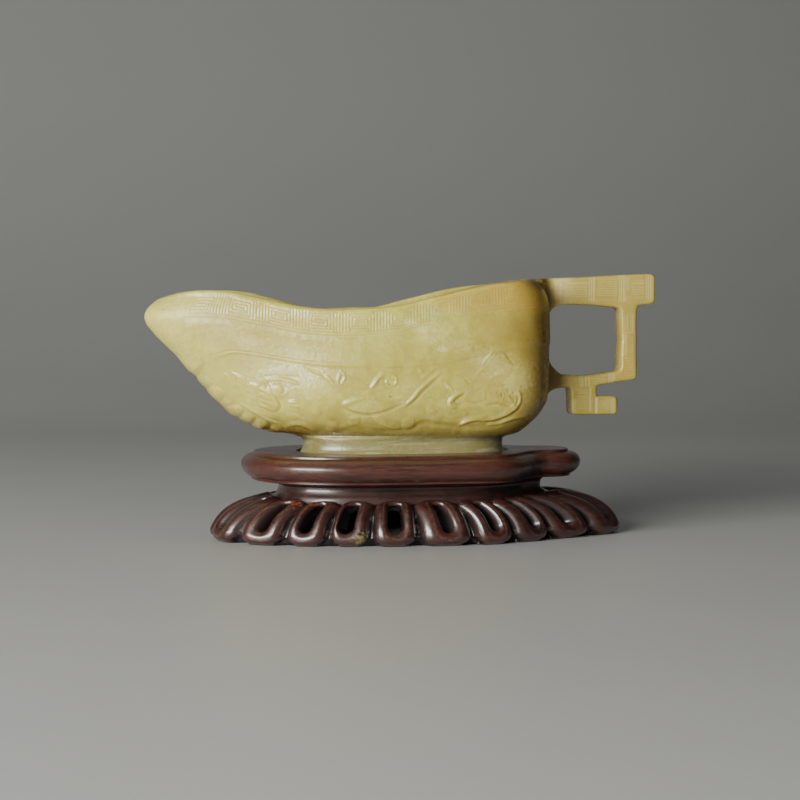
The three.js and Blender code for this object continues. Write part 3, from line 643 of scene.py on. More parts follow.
def polygon_sdf(px, pz, poly):
    """Signed distance to a closed polygon, negative inside."""
    p = np.asarray(poly, float)
    q = np.roll(p, -1, axis=0)
    best = np.full(px.shape, 1e9)
    inside = np.zeros(px.shape, bool)
    for (ax, az), (bx, bz) in zip(p, q):
        ex, ez = bx - ax, bz - az
        t = np.clip(((px - ax) * ex + (pz - az) * ez) / (ex * ex + ez * ez), 0, 1)
        best = np.minimum(best, (px - ax - ex * t) ** 2 + (pz - az - ez * t) ** 2)
        cross = ((az > pz) != (bz > pz)) & (px < (bx - ax) * (pz - az) / np.where(bz == az, 1e-9, bz - az) + ax)
        inside ^= cross
    d = np.sqrt(best)
    return np.where(inside, -d, d)


def handle_groups():
    """Incised lines on the handle's faces: (x0, z0, x1, z1, share of the full depth), straight."""
    g = []

    def upright(xs, z0, z1, depth=1.0):
        for x in xs:
            g.append((x, z0, x, z1, depth))

    def level(x0, x1, zs, depth=0.7):
        for z in zs:
            g.append((x0, z, x1, z, depth))
    # top bar: upright bundles with lined panels between them
    upright((50.9, 51.7, 52.4), 76.3, 82.6, 0.8)
    upright((62.3, 63.1, 63.9), 76.0, 83.9)
    upright((72.4, 73.2, 73.9), 76.0, 84.4)
    upright((74.7, 75.4), 79.6, 83.6, 0.8)
    upright((81.4, 82.2, 83.1), 76.6, 84.2)
    level(53.6, 61.5, (77.6, 78.4, 79.2, 79.9, 80.7, 81.5, 82.2))
    level(64.8, 71.6, (77.8, 78.6, 79.4, 80.2, 80.9, 81.7, 82.4, 83.1))
    level(76.3, 80.7, (78.4, 79.2, 79.9, 80.7, 81.5, 82.2, 83.0))
    level(53.6, 72.0, (76.2,), 0.6)
    level(74.6, 80.8, (77.2,), 0.6)
    # the upright
    upright((74.5, 75.3, 76.2, 77.0), 66.4, 71.4, 0.8)
    upright((74.1, 74.9), 58.4, 65.0)
    upright((77.6, 78.1), 58.0, 65.4, 0.8)
    level(75.6, 77.0, (59.2, 60.0, 60.8, 61.6, 62.4, 63.2, 64.0), 0.5)
    level(74.4, 77.2, (51.8, 52.6, 53.4, 54.2, 55.0, 55.8, 56.6), 0.5)
    level(74.0, 78.0, (65.9, 57.4), 0.7)
    # the lower bar
    upright((59.0, 60.0, 61.0, 62.1), 48.2, 51.2)
    upright((68.9, 69.8, 70.7), 49.4, 52.4)
    level(63.2, 67.8, (49.0, 49.8, 50.6))
    # the hook
    upright((56.9, 57.6), 39.6, 43.8)
    upright((62.7,), 40.4, 47.6)
    upright((64.3, 65.0), 39.4, 44.4)
    upright((69.8, 70.6), 39.6, 44.2)
    level(58.4, 61.9, (41.0, 41.8, 42.6, 43.4, 44.2, 45.0, 45.8, 46.6), 0.7)
    level(65.8, 69.0, (40.9, 41.7, 42.5, 43.3), 0.8)
    return g


def build_handle():
    h = 0.38
    x0, x1, z0, z1 = 40.54, 86.0, 37.6, 86.0
    xs = np.arange(x0, x1 + h / 2, h)
    zs = np.arange(z0, z1 + h / 2, h)
    gx, gz = np.meshgrid(xs, zs)

    def sdf(px, pz):
        return np.maximum(polygon_sdf(px, pz, HANDLE_OUTLINE), -polygon_sdf(px, pz, HANDLE_WINDOW))
    phi = sdf(gx, gz)
    e = 0.05
    dx = (sdf(gx + e, gz) - sdf(gx - e, gz)) / (2 * e)
    dz = (sdf(gx, gz + e) - sdf(gx, gz - e)) / (2 * e)
    near = np.abs(phi) < 0.48 * h
    px = np.where(near, gx - phi * dx, gx)
    pz = np.where(near, gz - phi * dz, gz)
    inside = (phi < 0) | near
    on_edge = near
    ids = {}
    pts, flags = [], []

    def node(i, j):
        key = (i, j)
        if key not in ids:
            ids[key] = len(pts)
            pts.append((px[j, i], pz[j, i]))
            flags.append(bool(on_edge[j, i]))
        return ids[key]

    def crossing(a, b):
        """Point on the outline between an inside and an outside grid node."""
        key = (a, b) if a < b else (b, a)
        if key not in ids:
            (ia, ja), (ib, jb) = a, b
            fa, fb = phi[ja, ia], phi[jb, ib]
            t = fa / (fa - fb)
            ids[key] = len(pts)
            pts.append((px[ja, ia] + (px[jb, ib] - px[ja, ia]) * t, pz[ja, ia] + (pz[jb, ib] - pz[ja, ia]) * t))
            flags.append(True)
        return ids[key]
    faces = []
    ny, nx = phi.shape
    for j in range(ny - 1):
        for i in range(nx - 1):
            c = [(i, j), (i + 1, j), (i + 1, j + 1), (i, j + 1)]
            ins = [bool(inside[b, a]) for a, b in c]
            k = sum(ins)
            if k == 0:
                continue
            if k == 4:
                if all(on_edge[b, a] for a, b in c):
                    mx, mz = np.mean([px[b, a] for a, b in c]), np.mean([pz[b, a] for a, b in c])
                    if float(sdf(np.array([mx]), np.array([mz]))[0]) > 0:
                        continue
                faces.append([node(*p) for p in c])
                continue
            poly = []
            for m in range(4):
                a, b = c[m], c[(m + 1) % 4]
                ia, ib = ins[m], ins[(m + 1) % 4]
                if ia:
                    poly.append(node(*a))
                if ia != ib:
                    inner, outer = (a, b) if ia else (b, a)
                    if not on_edge[inner[1], inner[0]]:
                        poly.append(crossing(inner, outer))
            poly = [p for n, p in enumerate(poly) if p != poly[n - 1]]
            if len(poly) >= 3:
                faces.append(poly)
    pts = np.array(pts)
    flags = np.array(flags)
    # keep faces whose area is real
    keep = []
    for f in faces:
        q = pts[f]
        area = 0.5 * abs(np.dot(q[:, 0], np.roll(q[:, 1], -1)) - np.dot(q[:, 1], np.roll(q[:, 0], -1)))
        if area > 1e-5:
            keep.append(f)
    faces = keep
    depth = np.maximum(0, -sdf(pts[:, 0], pts[:, 1]))
    depth[flags] = np.where(depth[flags] < 0.12, 0, depth[flags])
    r = 0.9
    t = np.clip(depth / r, 0, 1)
    half = HANDLE_HALF - r + r * np.sqrt(1 - (1 - t) ** 2)
    # the root spreads into the bowl's wall
    flare = np.clip((50.6 - pts[:, 0]) / 5.0, 0, 1) ** 2 * 2.6
    half = half + flare
    # slight waist along the bars, as left by the wheel
    half -= 0.18 * np.exp(-((pts[:, 0] - 70.5) / 3.2) ** 2) * (pts[:, 1] > 74)
    cut = np.zeros(len(pts))
    for ax, az, bx, bz, share in handle_groups():
        # each line runs along the nearest row or column of the grid
        if ax == bx:
            ax = bx = x0 + h * round((ax - x0) / h)
        else:
            az = bz = z0 + h * round((az - z0) / h)
        ex, ez = bx - ax, bz - az
        tt = np.clip(((pts[:, 0] - ax) * ex + (pts[:, 1] - az) * ez) / (ex * ex + ez * ez), 0, 1)
        d = np.hypot(pts[:, 0] - ax - ex * tt, pts[:, 1] - az - ez * tt)
        cut = np.maximum(cut, share * np.clip(1 - d / 0.36, 0, 1))
    half -= 0.24 * cut * np.clip(depth / 0.5, 0, 1)
    n = len(pts)
    front = np.stack([pts[:, 0], -half, pts[:, 1]], 1)
    back = np.stack([pts[:, 0], half, pts[:, 1]], 1)
    verts = np.concatenate([front, back])
    out = []
    edges = {}
    for f in faces:
        # grid order runs +x then +z: seen from -y that is counter-clockwise
        out.append(list(f))
        out.append([v + n for v in reversed(f)])
        for a, b in zip(f, f[1:] + f[:1]):
            edges[(a, b)] = edges.get((a, b), 0) + 1
    for (a, b) in edges:
        if (b, a) not in edges:
            out.append([b, a, a + n, b + n])
    return to_object("vessel_handle", verts, out, {"carve": np.concatenate([cut, cut])})


# ----------------------------------------------------------------------- stand
def plan_outline(table, count):
    """Even points round a mirror-symmetric outline, spout end first, near side first."""
    t = np.asarray(table, float)
    x0, x1 = t[0, 0], t[-1, 0]
    mid, h = (x0 + x1) / 2, (x1 - x0) / 2
    f = smooth_table(np.stack([np.arcsin(np.clip((t[:, 0] - mid) / h, -1, 1)), t[:, 1]], 1))
    a = np.linspace(-math.pi / 2, math.pi / 2, 4001)
    xx, yy = mid + h * np.sin(a), np.maximum(0, f(a))
    px, py = np.concatenate([xx, xx[-2::-1]]), np.concatenate([-yy, yy[-2::-1]])
    ln = np.concatenate([[0], np.cumsum(np.hypot(np.diff(px), np.diff(py)))])
    s = np.arange(count) * ln[-1] / count
    return np.stack([np.interp(s, ln, px), np.interp(s, ln, py)], 1)


def outline_normals(p, spread=1):
    t = np.roll(p, -spread, axis=0) - np.roll(p, spread, axis=0)
    t /= np.maximum(np.linalg.norm(t, axis=1, keepdims=True), 1e-9)
    return np.stack([t[:, 1], -t[:, 0]], 1)


def smooth_closed(a, times):
    for _ in range(times):
        a = 0.25 * np.roll(a, 1, axis=0) + 0.5 * a + 0.25 * np.roll(a, -1, axis=0)
    return a


def foot_outline(d, z, shares):
    x0, x1, w = FOOT_X0 - d, FOOT_X1 + d, FOOT_HALF_DEPTH + d
    t = np.linspace(0, math.pi, 6001)
    xx = x0 + (x1 - x0) * (1 - np.cos(t)) / 2
    s = np.abs((xx - (x0 + x1) / 2) / ((x1 - x0) / 2))
    yy = w * np.maximum(0, 1 - s ** 3.2) ** (1 / 2.6)
    px, py = np.concatenate([xx, xx[-2::-1]]), np.concatenate([-yy, yy[-2::-1]])
    ln = np.concatenate([[0], np.cumsum(np.hypot(np.diff(px), np.diff(py)))])
    ln /= ln[-1]
    return np.stack([np.interp(shares, ln, px), np.interp(shares, ln, py), np.full(len(shares), z)], 1)


def build_board():
    n = 480
    plate = plan_outline(PLATE_PLAN, n)
    nrm = smooth_closed(outline_normals(plate, 2), 6)
    nrm /= np.linalg.norm(nrm, axis=1, keepdims=True)

    def ring(d, z):
        return np.column_stack([plate + nrm * d, np.full(n, z)])
    profile = [(0.15, 19.18, 0), (0.45, 19.2, 0), (0.68, 19.32, 0), (0.74, 19.5, 0.5), (0.66, 19.68, 0.4), (0.48, 19.8, 0), (0.5, 19.95, 0),
               (1.1, 20.1, 0), (1.9, 20.5, 0), (2.6, 21.05, 0), (3.15, 21.7, 0), (3.6, 22.4, 0), (3.88, 23.1, 0), (4.0, 23.8, 0),
               (3.93, 24.5, 0), (3.66, 25.2, 0), (3.2, 25.85, 0), (2.55, 26.4, 0), (1.75, 26.78, 0), (0.95, 26.98, 0), (0.3, 27.06, 0),
               (0.05, 27.1, 0), (0.0, 27.2, 0.1), (0.0, 27.6, 0.6), (-0.06, 27.82, 1.0), (-0.22, 27.95, 1.0), (-0.5, 28.0, 0.5), (-1.2, 28.0, 0)]
    sh = Shell()
    waist = plan_outline(WAIST_PLAN, n)
    low = np.column_stack([waist, np.full(n, 17.6)])
    eave = ring(0.15, 19.18)
    rings = [sh.ring(lerp(np.array([2.0, 0.0, 17.6]), low, t)) for t in (0.3, 0.7, 1.0)]
    for t, z in ((0.02, 17.95), (0.06, 18.3), (0.13, 18.62), (0.23, 18.86), (0.38, 19.02), (0.6, 19.12), (0.82, 19.16)):
        p = lerp(low, eave, t)
        p[:, 2] = z
        rings.append(sh.ring(p))
    rings += [sh.ring(ring(d, z), m) for d, z, m in profile]
    # from the plate's edge across to the recess
    share = np.arange(n) / n
    edge = ring(-1.2, 28.0)
    rings += [sh.ring(lerp(edge, foot_outline(FOOT_FLARE + 1.35, 28.0, share), s)) for s in (0.33, 0.66, 1.0)]
    rings += [sh.ring(foot_outline(FOOT_FLARE + 1.13, 27.93, share)), sh.ring(foot_outline(FOOT_FLARE + 1.05, 27.75, share)),
              sh.ring(foot_outline(FOOT_FLARE + 1.05, 26.5, share)), sh.ring(foot_outline(FOOT_FLARE + 0.85, 26.3, share))]
    floor = foot_outline(FOOT_FLARE + 0.85, 26.3, share)
    rings += [sh.ring(lerp(np.array([0.9, 0, 26.3]), floor, s)) for s in (0.7, 0.3)]
    sh.cap(rings[0], [2.0, 0.0, 17.6], True)
    sh.chain(rings)
    sh.cap(rings[-1], [0.9, 0.0, 26.3], False)
    return to_object("board", sh.verts(), [list(reversed(f)) for f in sh.f], {"edge": sh.marks()})


PETAL_EDGES = [0.0, 1.03, 2.07, 2.96, 3.79, 4.73, 5.83, 6.75, 7.66, 8.76, 10.0]
PETAL_SLOTS = [0.62, 0.74, 0.80, 0.98, 0.98, 0.76, 0.76, 0.66, 0.86, 0.70]     # slot widths, as shares of the widest
HALF_COLS = 13


def build_base():
    dense = 4000
    waist_d, skirt_d = plan_outline(WAIST_PLAN, dense), plan_outline(SKIRT_PLAN, dense)
    wn_d = smooth_closed(outline_normals(waist_d, 12), 60)
    wn_d /= np.linalg.norm(wn_d, axis=1, keepdims=True)

    def along(table, p):
        """Point of a dense closed outline at p twentieths of its length."""
        t = np.mod(p, 20.0) / 20.0 * dense
        i = np.floor(t).astype(int)
        k = (t - i)[..., None]
        return table[i % dense] * (1 - k) + table[(i + 1) % dense] * k

    prof = np.asarray(SKIRT_PROFILE, float)
    # finer, rounded profile: distance out (of a 20 mm run) and height against a 0..1 place
    seg = np.hypot(np.diff(prof[:, 0]) * 20, np.diff(prof[:, 1]))
    pl = np.concatenate([[0], np.cumsum(seg)])
    length = pl[-1]
    prof_s = smooth_table(np.stack([pl, prof[:, 0]], 1))
    prof_z = smooth_table(np.stack([pl, prof[:, 1]], 1))

    # the slot's middle line, measured down the skirt; it starts higher where the skirt is wide
    q1_front, q1_end, q2 = 9.9, 5.6, 20.95
    r_top, r_low = 2.05, 2.45

    def rows_for(q1):
        top = np.linspace(0, 1, 12) ** 1.0 * (q1 - r_top - 0.001)
        hole = np.concatenate([q1 - r_top * np.cos(np.linspace(0.35, math.pi / 2, 5)),
                               np.linspace(q1, q2, 12)[1:-1],
                               q2 + r_low * np.sin(np.linspace(0, math.pi / 2 - 0.35, 5))])
        low = q2 + r_low + 0.001 + (length - q2 - r_low) * np.linspace(0, 1, 10)
        low[-1] = length
        return np.concatenate([top, hole, low]), len(top), len(top) + len(hole)
    qs, n_hole0, n_hole1 = rows_for(q1_front)

    def radius(q, q1):
        return r_top + (r_low - r_top) * np.clip((q - q1) / (q2 - q1), 0, 1)

    def hole_half(q, q1):
        over = q - np.clip(q, q1, q2)
        r = radius(q, q1)
        return np.sqrt(np.maximum(0, r * r - over * over))

    def surface(p, q):
        """Plain skirt surface at a place round (p) and down (q)."""
        w, s = along(waist_d, p), along(skirt_d, p)
        run = np.linalg.norm(s - w, axis=-1)
        share = np.minimum(1, 20.0 / run)
        sv = prof_s(q)
        t = 1 - (1 - sv) * share
        t = np.where(sv < 0.1, lerp(sv, t, smoothstep(0.0, 0.1, sv)), t)
        xy = w + (s - w) * t[..., None]
        return np.concatenate([xy, np.broadcast_to(prof_z(q), t.shape)[..., None]], -1)

    def inner_surface(p, q):
        """Underside of the skirt at the same place."""
        w, s, wn = along(waist_d, p), along(skirt_d, p), along(wn_d, p)
        k = q / length
        share = np.interp(k, [0, 0.25, 0.5, 0.75, 0.93, 1.0], [0.0, 0.10, 0.28, 0.46, 0.53, 0.56])
        z = np.interp(k, [0, 0.25, 0.5, 0.75, 0.93, 1.0], [12.2, 10.6, 7.9, 4.6, 1.6, 0.0])
        back = np.interp(k, [0, 0.25, 1], [-4.6, -2.0, 0.0])
        xy = w + wn * back[..., None] + (s - w) * share[..., None]
        return np.concatenate([xy, np.broadcast_to(z, share.shape)[..., None]], -1)

    # the low mark grows with depth into the carving and is 1 on the underside; it paints shade there
    verts, faces, painted_shade_marks, edges = [], [], [], []

    def add(p, low=0.0, edge=0.0):
        verts.append(np.asarray(p, float).reshape(-1, 3))
        painted_shade_marks.append(np.zeros(len(verts[-1])) + low)
        edges.append(np.zeros(len(verts[-1])) + edge)
        start = sum_n[0]
        sum_n[0] += len(verts[-1])
        return np.arange(start, sum_n[0])
    sum_n = [0]

    n_q = len(qs)
    centre_p, edge_lo, edge_hi = [], [], []
    for k in range(20):
        kk = k if k < 10 else 19 - k
        lo, c, hi = PETAL_EDGES[kk], PETAL_PLACES[kk], PETAL_EDGES[kk + 1]
        if k >= 10:
            lo, c, hi = 20 - hi, 20 - c, 20 - lo
        centre_p.append(c)
        edge_lo.append(lo)
        edge_hi.append(hi)

    a_frac = np.linspace(0, 1, HALF_COLS)       # 0 at the slot, 1 at the groove

    def half_petal(c, edge, sign, slim=1.0):
        """Places round (p) and down (q) of a half petal's grid, rows x columns from the slot out."""
        here = np.array([c])
        run = float(np.linalg.norm(along(skirt_d, here) - along(waist_d, here)))
        wide = float(smoothstep(12.5, 25.0, run))
        q1 = lerp(q1_front, q1_end, wide)
        there = np.array([edge])
        run = float(np.linalg.norm(along(skirt_d, there) - along(waist_d, there)))
        # neighbours agree on it where they meet
        wide = lerp(wide, float(smoothstep(12.5, 25.0, run)), a_frac[None, :] ** 1.5)
        own = rows_for(q1)[0]
        q = lerp(own[:, None], qs[:, None], a_frac[None, :] ** 2)
        # local size of one twentieth, measured on the surface
        e = 0.02
        mid = np.full(n_q, (c + edge) / 2)
        d = surface(mid + e, own) - surface(mid - e, own)
        unit = np.linalg.norm(d, axis=1) / (2 * e)
        width = np.abs(edge - c) * unit
        hole = hole_half(own, q1) * slim
        hole[:n_hole0] = 0
        hole[n_hole1:] = 0
        a = hole[:, None] + (width - hole)[:, None] * a_frac[None, :] ** 0.94
        p = c + sign * a / unit[:, None]
        p[:, -1] = edge
        return p, q, a, width, q1, wide

    def petal_height(a, width, q, q1, wide, slim):
        """How far the carved loop lies below the plain surface, and its place across the band."""
        over = q - np.clip(q, q1, q2)
        ds = np.maximum(0, np.hypot(a / slim, over) - radius(q, q1)) * slim
        side = width - a - lerp(0.12, 0.66, smoothstep(8, 24, q))
        q_top = lerp(4.3, 1.4, wide)

        def corner(ex, ey, r):
            inside = (ex < r) & (ey < r)
            return np.where(inside, r - np.hypot(r - ex, r - ey), np.minimum(ex, ey))
        do = corner(side, q - q_top, np.minimum(width * 0.92, 5.5))
        do = np.minimum(do, corner(side, length + 0.9 - q, 5.0))
        do = np.maximum(do, 0)
        t = ds / np.maximum(ds + do, 1e-6)
        crest = 0.42
        u_in = np.clip(1 - t / crest, 0, 1)
        u_out = np.clip((t - crest) / (1 - crest), 0, 1)
        groove = lerp(1.9, 3.9, smoothstep(6, 20, q))
        h = np.where(t < crest, 1.35 * (1 - np.sqrt(1 - u_in ** 2)), groove * (1 - np.sqrt(np.maximum(0, 1 - u_out ** 2))))
        # the carving runs out into the waist
        # the third value, the low mark, grows with depth into the carving and paints shade there
        return h * smoothstep(q_top - 2.2, q_top + 1.0, q), t, np.maximum(h / np.where(t < crest, 1.6, 3.2), 0)

    petals = []
    for k in range(20):
        c = centre_p[k]
        parts = {}
        for sign, edge in ((-1, edge_lo[k]), (1, edge_hi[k])):
            slim = PETAL_SLOTS[k if k < 10 else 19 - k]
            p, q, a, width, q1, wide = half_petal(c, edge, sign, slim)
            flat = surface(p, q)
            e = 0.01
            du = surface(p + e, q) - surface(p - e, q)
            dq = surface(p, np.minimum(q + 0.05, length)) - surface(p, np.maximum(q - 0.05, 0))
            nn = np.cross(dq, du)
            nn /= np.maximum(np.linalg.norm(nn, axis=2, keepdims=True), 1e-9)
            h, across, low = petal_height(a, width[:, None], q, q1, wide, slim)
            pts = flat - nn * h[..., None]
            # the toes touch the floor, the gaps between them stay open
            toe = a[-1] / width[-1]
            rise = 3.0 * smoothstep(0.66, 1.0, toe)
            pts[-1, :, 2] = 0.0
            pts[..., 2] = np.maximum(pts[..., 2], rise[None, :] * (0.75 + 0.25 * (1 - np.arange(n_q)[:, None] / (n_q - 1))))
            # marks the loops' crests for wear and a painted highlight
            crest_wear_and_highlight = np.exp(-((across - 0.36) / 0.15) ** 2) * smoothstep(3.0, 9.0, q)
            parts[sign] = (pts, inner_surface(p, q), np.clip(low, 0, 1), crest_wear_and_highlight)
        petals.append(parts)

    # vertices: grooves are shared between neighbours, the slot's middle column above and below the slot
    def index_surface(which):
        def col(part, j, rows=slice(None)):
            if which:
                # the underside gets the full low mark: painted shade
                return add(part[1][rows, j], 1.0, 0.0)
            return add(part[0][rows, j], part[2][rows, j], part[3][rows, j])
        groove_cols = [col(petals[k][-1], -1) for k in range(20)]      # low edge of petal k
        out = []
        for k in range(20):
            left, right = petals[k][-1], petals[k][1]
            li = np.zeros((n_q, HALF_COLS), int)
            ri = np.zeros((n_q, HALF_COLS), int)
            li[:, -1] = groove_cols[k]
            ri[:, -1] = groove_cols[(k + 1) % 20]
            for j in range(1, HALF_COLS - 1):
                li[:, j] = col(left, j)
                ri[:, j] = col(right, j)
            li[:, 0] = col(left, 0)
            ri[:, 0] = li[:, 0]
            ri[n_hole0:n_hole1, 0] = col(right, 0, slice(n_hole0, n_hole1))
            out.append((li, ri))
        return out
    outer = index_surface(0)
    inner = index_surface(1)

    def quads(a, flip):
        """Faces of an index grid, rows down and columns in growing p."""
        f = np.stack([a[:-1, :-1], a[1:, :-1], a[1:, 1:], a[:-1, 1:]], -1).reshape(-1, 4)
        if flip:
            f = f[:, ::-1]
        faces.extend(f.tolist())
    for k in range(20):
        for which, flip in ((outer, False), (inner, True)):
            li, ri = which[k]
            quads(li[:, ::-1], flip)
            quads(ri, flip)
        # slot walls
        (lo_, ro_), (li_, ri_) = outer[k], inner[k]
        loop_o = list(lo_[n_hole0 - 1:n_hole1 + 1, 0]) + list(ro_[n_hole0:n_hole1, 0][::-1])
        loop_i = list(li_[n_hole0 - 1:n_hole1 + 1, 0]) + list(ri_[n_hole0:n_hole1, 0][::-1])
        m = len(loop_o)
        for j in range(m):
            a, b = loop_o[j], loop_o[(j + 1) % m]
            c2, d2 = loop_i[(j + 1) % m], loop_i[j]
            faces.append([a, b, c2, d2])
        # floor strip
        row_o = np.concatenate([lo_[-1, ::-1], ro_[-1, 1:]])
        row_i = np.concatenate([li_[-1, ::-1], ri_[-1, 1:]])
        faces.extend(np.stack([row_o[:-1], row_i[:-1], row_i[1:], row_o[1:]], 1).tolist())

    # waist: from the skirt's top ring up to the board, over, and down the inside
    ring_o, ring_i, ring_p = [], [], []
    for k in range(20):
        (lo_, ro_), (li_, ri_) = outer[k], inner[k]
        ring_o += list(lo_[0, ::-1][:-1]) + list(ro_[0, :-1])
        ring_i += list(li_[0, ::-1][:-1]) + list(ri_[0, :-1])
        for sign, edge in ((-1, edge_lo[k]), (1, edge_hi[k])):
            row = half_petal(centre_p[k], edge, sign)[0][0]
            ring_p += list(row[::-1][:-1]) if sign < 0 else list(row[:-1])
    ring_p = np.array(ring_p)
    w, wn = along(waist_d, ring_p), along(wn_d, ring_p)
    prev = np.array(ring_o)
    for d, z in ((-0.05, 16.45), (-0.12, 16.75), (-0.14, 17.05), (-0.1, 17.35), (0.0, 17.6)):
        cur = add(np.column_stack([w + wn * d, np.full(len(ring_p), z)]))
        faces.extend(np.stack([cur, prev, np.roll(prev, -1), np.roll(cur, -1)], 1).tolist())
        prev = cur
    cur = add(np.column_stack([w + wn * -4.6, np.full(len(ring_p), 17.6)]))
    faces.extend(np.stack([cur, prev, np.roll(prev, -1), np.roll(cur, -1)], 1).tolist())
    prev, last = cur, np.array(ring_i)
    faces.extend(np.stack([last, prev, np.roll(prev, -1), np.roll(last, -1)], 1).tolist())
    return to_object("petal_base", np.concatenate(verts), faces, {"low": np.concatenate(painted_shade_marks), "edge": np.concatenate(edges)})



# ------------------------------------------------------------------- make them
def join_handle(body, part):
    """One closed vessel out of the bowl and its handle, with the carving marks kept."""
    old = []
    for ob in (body, part):
        me = ob.data
        co = np.empty(len(me.vertices) * 3, np.float32)
        me.vertices.foreach_get("co", co)
        mark = np.empty(len(me.vertices), np.float32)
        me.attributes["carve"].data.foreach_get("value", mark)
        old.append((co.reshape(-1, 3), mark))
    known = {}
    for co, mark in old:
        for key, m in zip(map(tuple, np.round(co * 1e6).astype(int).tolist()), mark.tolist()):
            known[key] = m
    for solver in ("MANIFOLD", "EXACT"):
        mod = body.modifiers.new("join", "BOOLEAN")
        mod.operation, mod.object, mod.solver = "UNION", part, solver
        bpy.context.view_layer.update()
        dg = bpy.context.evaluated_depsgraph_get()
        me = bpy.data.meshes.new_from_object(body.evaluated_get(dg), preserve_all_data_layers=False, depsgraph=dg)
        body.modifiers.remove(mod)
        if len(me.vertices) > len(body.data.vertices) * 0.9:
            break
    for at in [a for a in me.attributes if a.name == "carve"]:
        me.attributes.remove(at)
    co = np.empty(len(me.vertices) * 3, np.float32)
    me.vertices.foreach_get("co", co)
    keys = map(tuple, np.round(co.reshape(-1, 3) * 1e6).astype(int).tolist())
    mark = np.array([known.get(k, 0.0) for k in keys], np.float32)
    me.attributes.new("carve", "FLOAT", "POINT").data.foreach_set("value", mark)
    me.polygons.foreach_set("use_smooth", np.full(len(me.polygons), True, bool))
    body.data = me
    bpy.data.objects.remove(part)
    print("union by", solver)
    return body


vessel = join_handle(build_vessel(), build_handle())
vessel.name = "carved_vessel"
board = build_board()
board.name = "stand_board"
base = build_base()
base.name = "stand_petals"
for ob in (vessel, board, base):
    print(ob.name, "vertices", len(ob.data.vertices), "triangles", sum(len(p.vertices) - 2 for p in ob.data.polygons))


# ------------------------------------------------------------------- materials
def lin(r, g, b):
    """Linear colour of an 8-bit sRGB colour."""
    def one(v):
        v /= 255.0
        return v / 12.92 if v <= 0.04045 else ((v + 0.055) / 1.055) ** 2.4
    return (one(r), one(g), one(b), 1.0)


class Nodes:
    def __init__(self, name):
        self.mat = bpy.data.materials.new(name)
        self.mat.use_nodes = True
        self.t = self.mat.node_tree
        self.t.nodes.clear()
        self.out = self.t.nodes.new("ShaderNodeOutputMaterial")
        self.bsdf = self.t.nodes.new("ShaderNodeBsdfPrincipled")
        self.t.links.new(self.bsdf.outputs[0], self.out.inputs["Surface"])
        self.count = 0

    def add(self, kind, **values):
        n = self.t.nodes.new(kind)
        self.count += 1
        n.location = (-220 * (self.count % 12), -200 * (self.count // 12))
        for key, v in values.items():
            if hasattr(n, key):
                setattr(n, key, v)
        return n

    def put(self, socket, v):
        if isinstance(v, bpy.types.NodeSocket):
            self.t.links.new(v, socket)
        else:
            socket.default_value = v

    def place(self, scale=(1, 1, 1), turn=(0, 0, 0)):
        """Object coordinates in millimetres, stretched and turned."""
        c = self.add("ShaderNodeTexCoord")
        m = self.add("ShaderNodeMapping")
        self.put(m.inputs["Vector"], c.outputs["Object"])
        m.inputs["Scale"].default_value = tuple(1000.0 * s for s in scale)
        m.inputs["Rotation"].default_value = turn
        return m.outputs["Vector"]

    def noise(self, where, scale, detail=4.0, rough=0.55, warp=0.0):
        n = self.add("ShaderNodeTexNoise")
        self.put(n.inputs["Vector"], where)
        n.inputs["Scale"].default_value = scale
        n.inputs["Detail"].default_value = detail
        n.inputs["Roughness"].default_value = rough
        n.inputs["Distortion"].default_value = warp
        return n.outputs["Fac"]

    def spots(self, where, scale):
        n = self.add("ShaderNodeTexVoronoi")
        self.put(n.inputs["Vector"], where)
        n.inputs["Scale"].default_value = scale
        return n.outputs["Distance"]

    def span(self, v, a, b, c=0.0, d=1.0, smooth=True):
        """v from a..b to c..d, held at the ends."""
        n = self.add("ShaderNodeMapRange")
        n.interpolation_type = "SMOOTHSTEP" if smooth else "LINEAR"
        n.clamp = True
        self.put(n.inputs["Value"], v)
        for key, x in (("From Min", a), ("From Max", b), ("To Min", c), ("To Max", d)):
            n.inputs[key].default_value = x
        return n.outputs["Result"]

    def sum(self, op, a, b, c=None):
        n = self.add("ShaderNodeMath")
        n.operation = op
        self.put(n.inputs[0], a)
        if b is not None:
            self.put(n.inputs[1], b)
        if c is not None:
            self.put(n.inputs[2], c)
        return n.outputs[0]

    def mix(self, fac, a, b, blend="MIX"):
        n = self.add("ShaderNodeMix")
        n.data_type = "RGBA"
        n.blend_type = blend
        self.put(n.inputs["Factor"], fac)
        self.put(n.inputs[6], a)
        self.put(n.inputs[7], b)
        return n.outputs[2]

    def axis(self, which, where=None):
        c = self.add("ShaderNodeSeparateXYZ")
        self.put(c.inputs[0], where if where is not None else self.place())
        return c.outputs["XYZ".index(which)]

    def mark(self, name):
        a = self.add("ShaderNodeAttribute")
        a.attribute_name = name
        return a.outputs["Fac"]

    def patch(self, centre, size, edge=0.35, warp=0.5, scale=0.25):
        """A soft, ragged patch about a place in mm: 1 inside, 0 outside."""
        p = self.place()
        sub = self.add("ShaderNodeVectorMath")
        sub.operation = "SUBTRACT"
        self.put(sub.inputs[0], p)
        sub.inputs[1].default_value = centre
        div = self.add("ShaderNodeVectorMath")
        div.operation = "DIVIDE"
        self.put(div.inputs[0], sub.outputs[0])
        div.inputs[1].default_value = size
        ln = self.add("ShaderNodeVectorMath")
        ln.operation = "LENGTH"
        self.put(ln.inputs[0], div.outputs[0])
        n = self.noise(p, scale, 4.0, 0.6)
        r = self.sum("ADD", ln.outputs["Value"], self.span(n, 0.3, 0.7, -warp, warp, False))
        return self.span(r, 1.0 + edge, 1.0 - edge)

    def bump(self, height, distance, strength=1.0, under=None):
        b = self.add("ShaderNodeBump")
        b.inputs["Strength"].default_value = strength
        b.inputs["Distance"].default_value = distance
        self.put(b.inputs["Height"], height)
        if under is not None:
            self.put(b.inputs["Normal"], under)
        return b.outputs["Normal"]


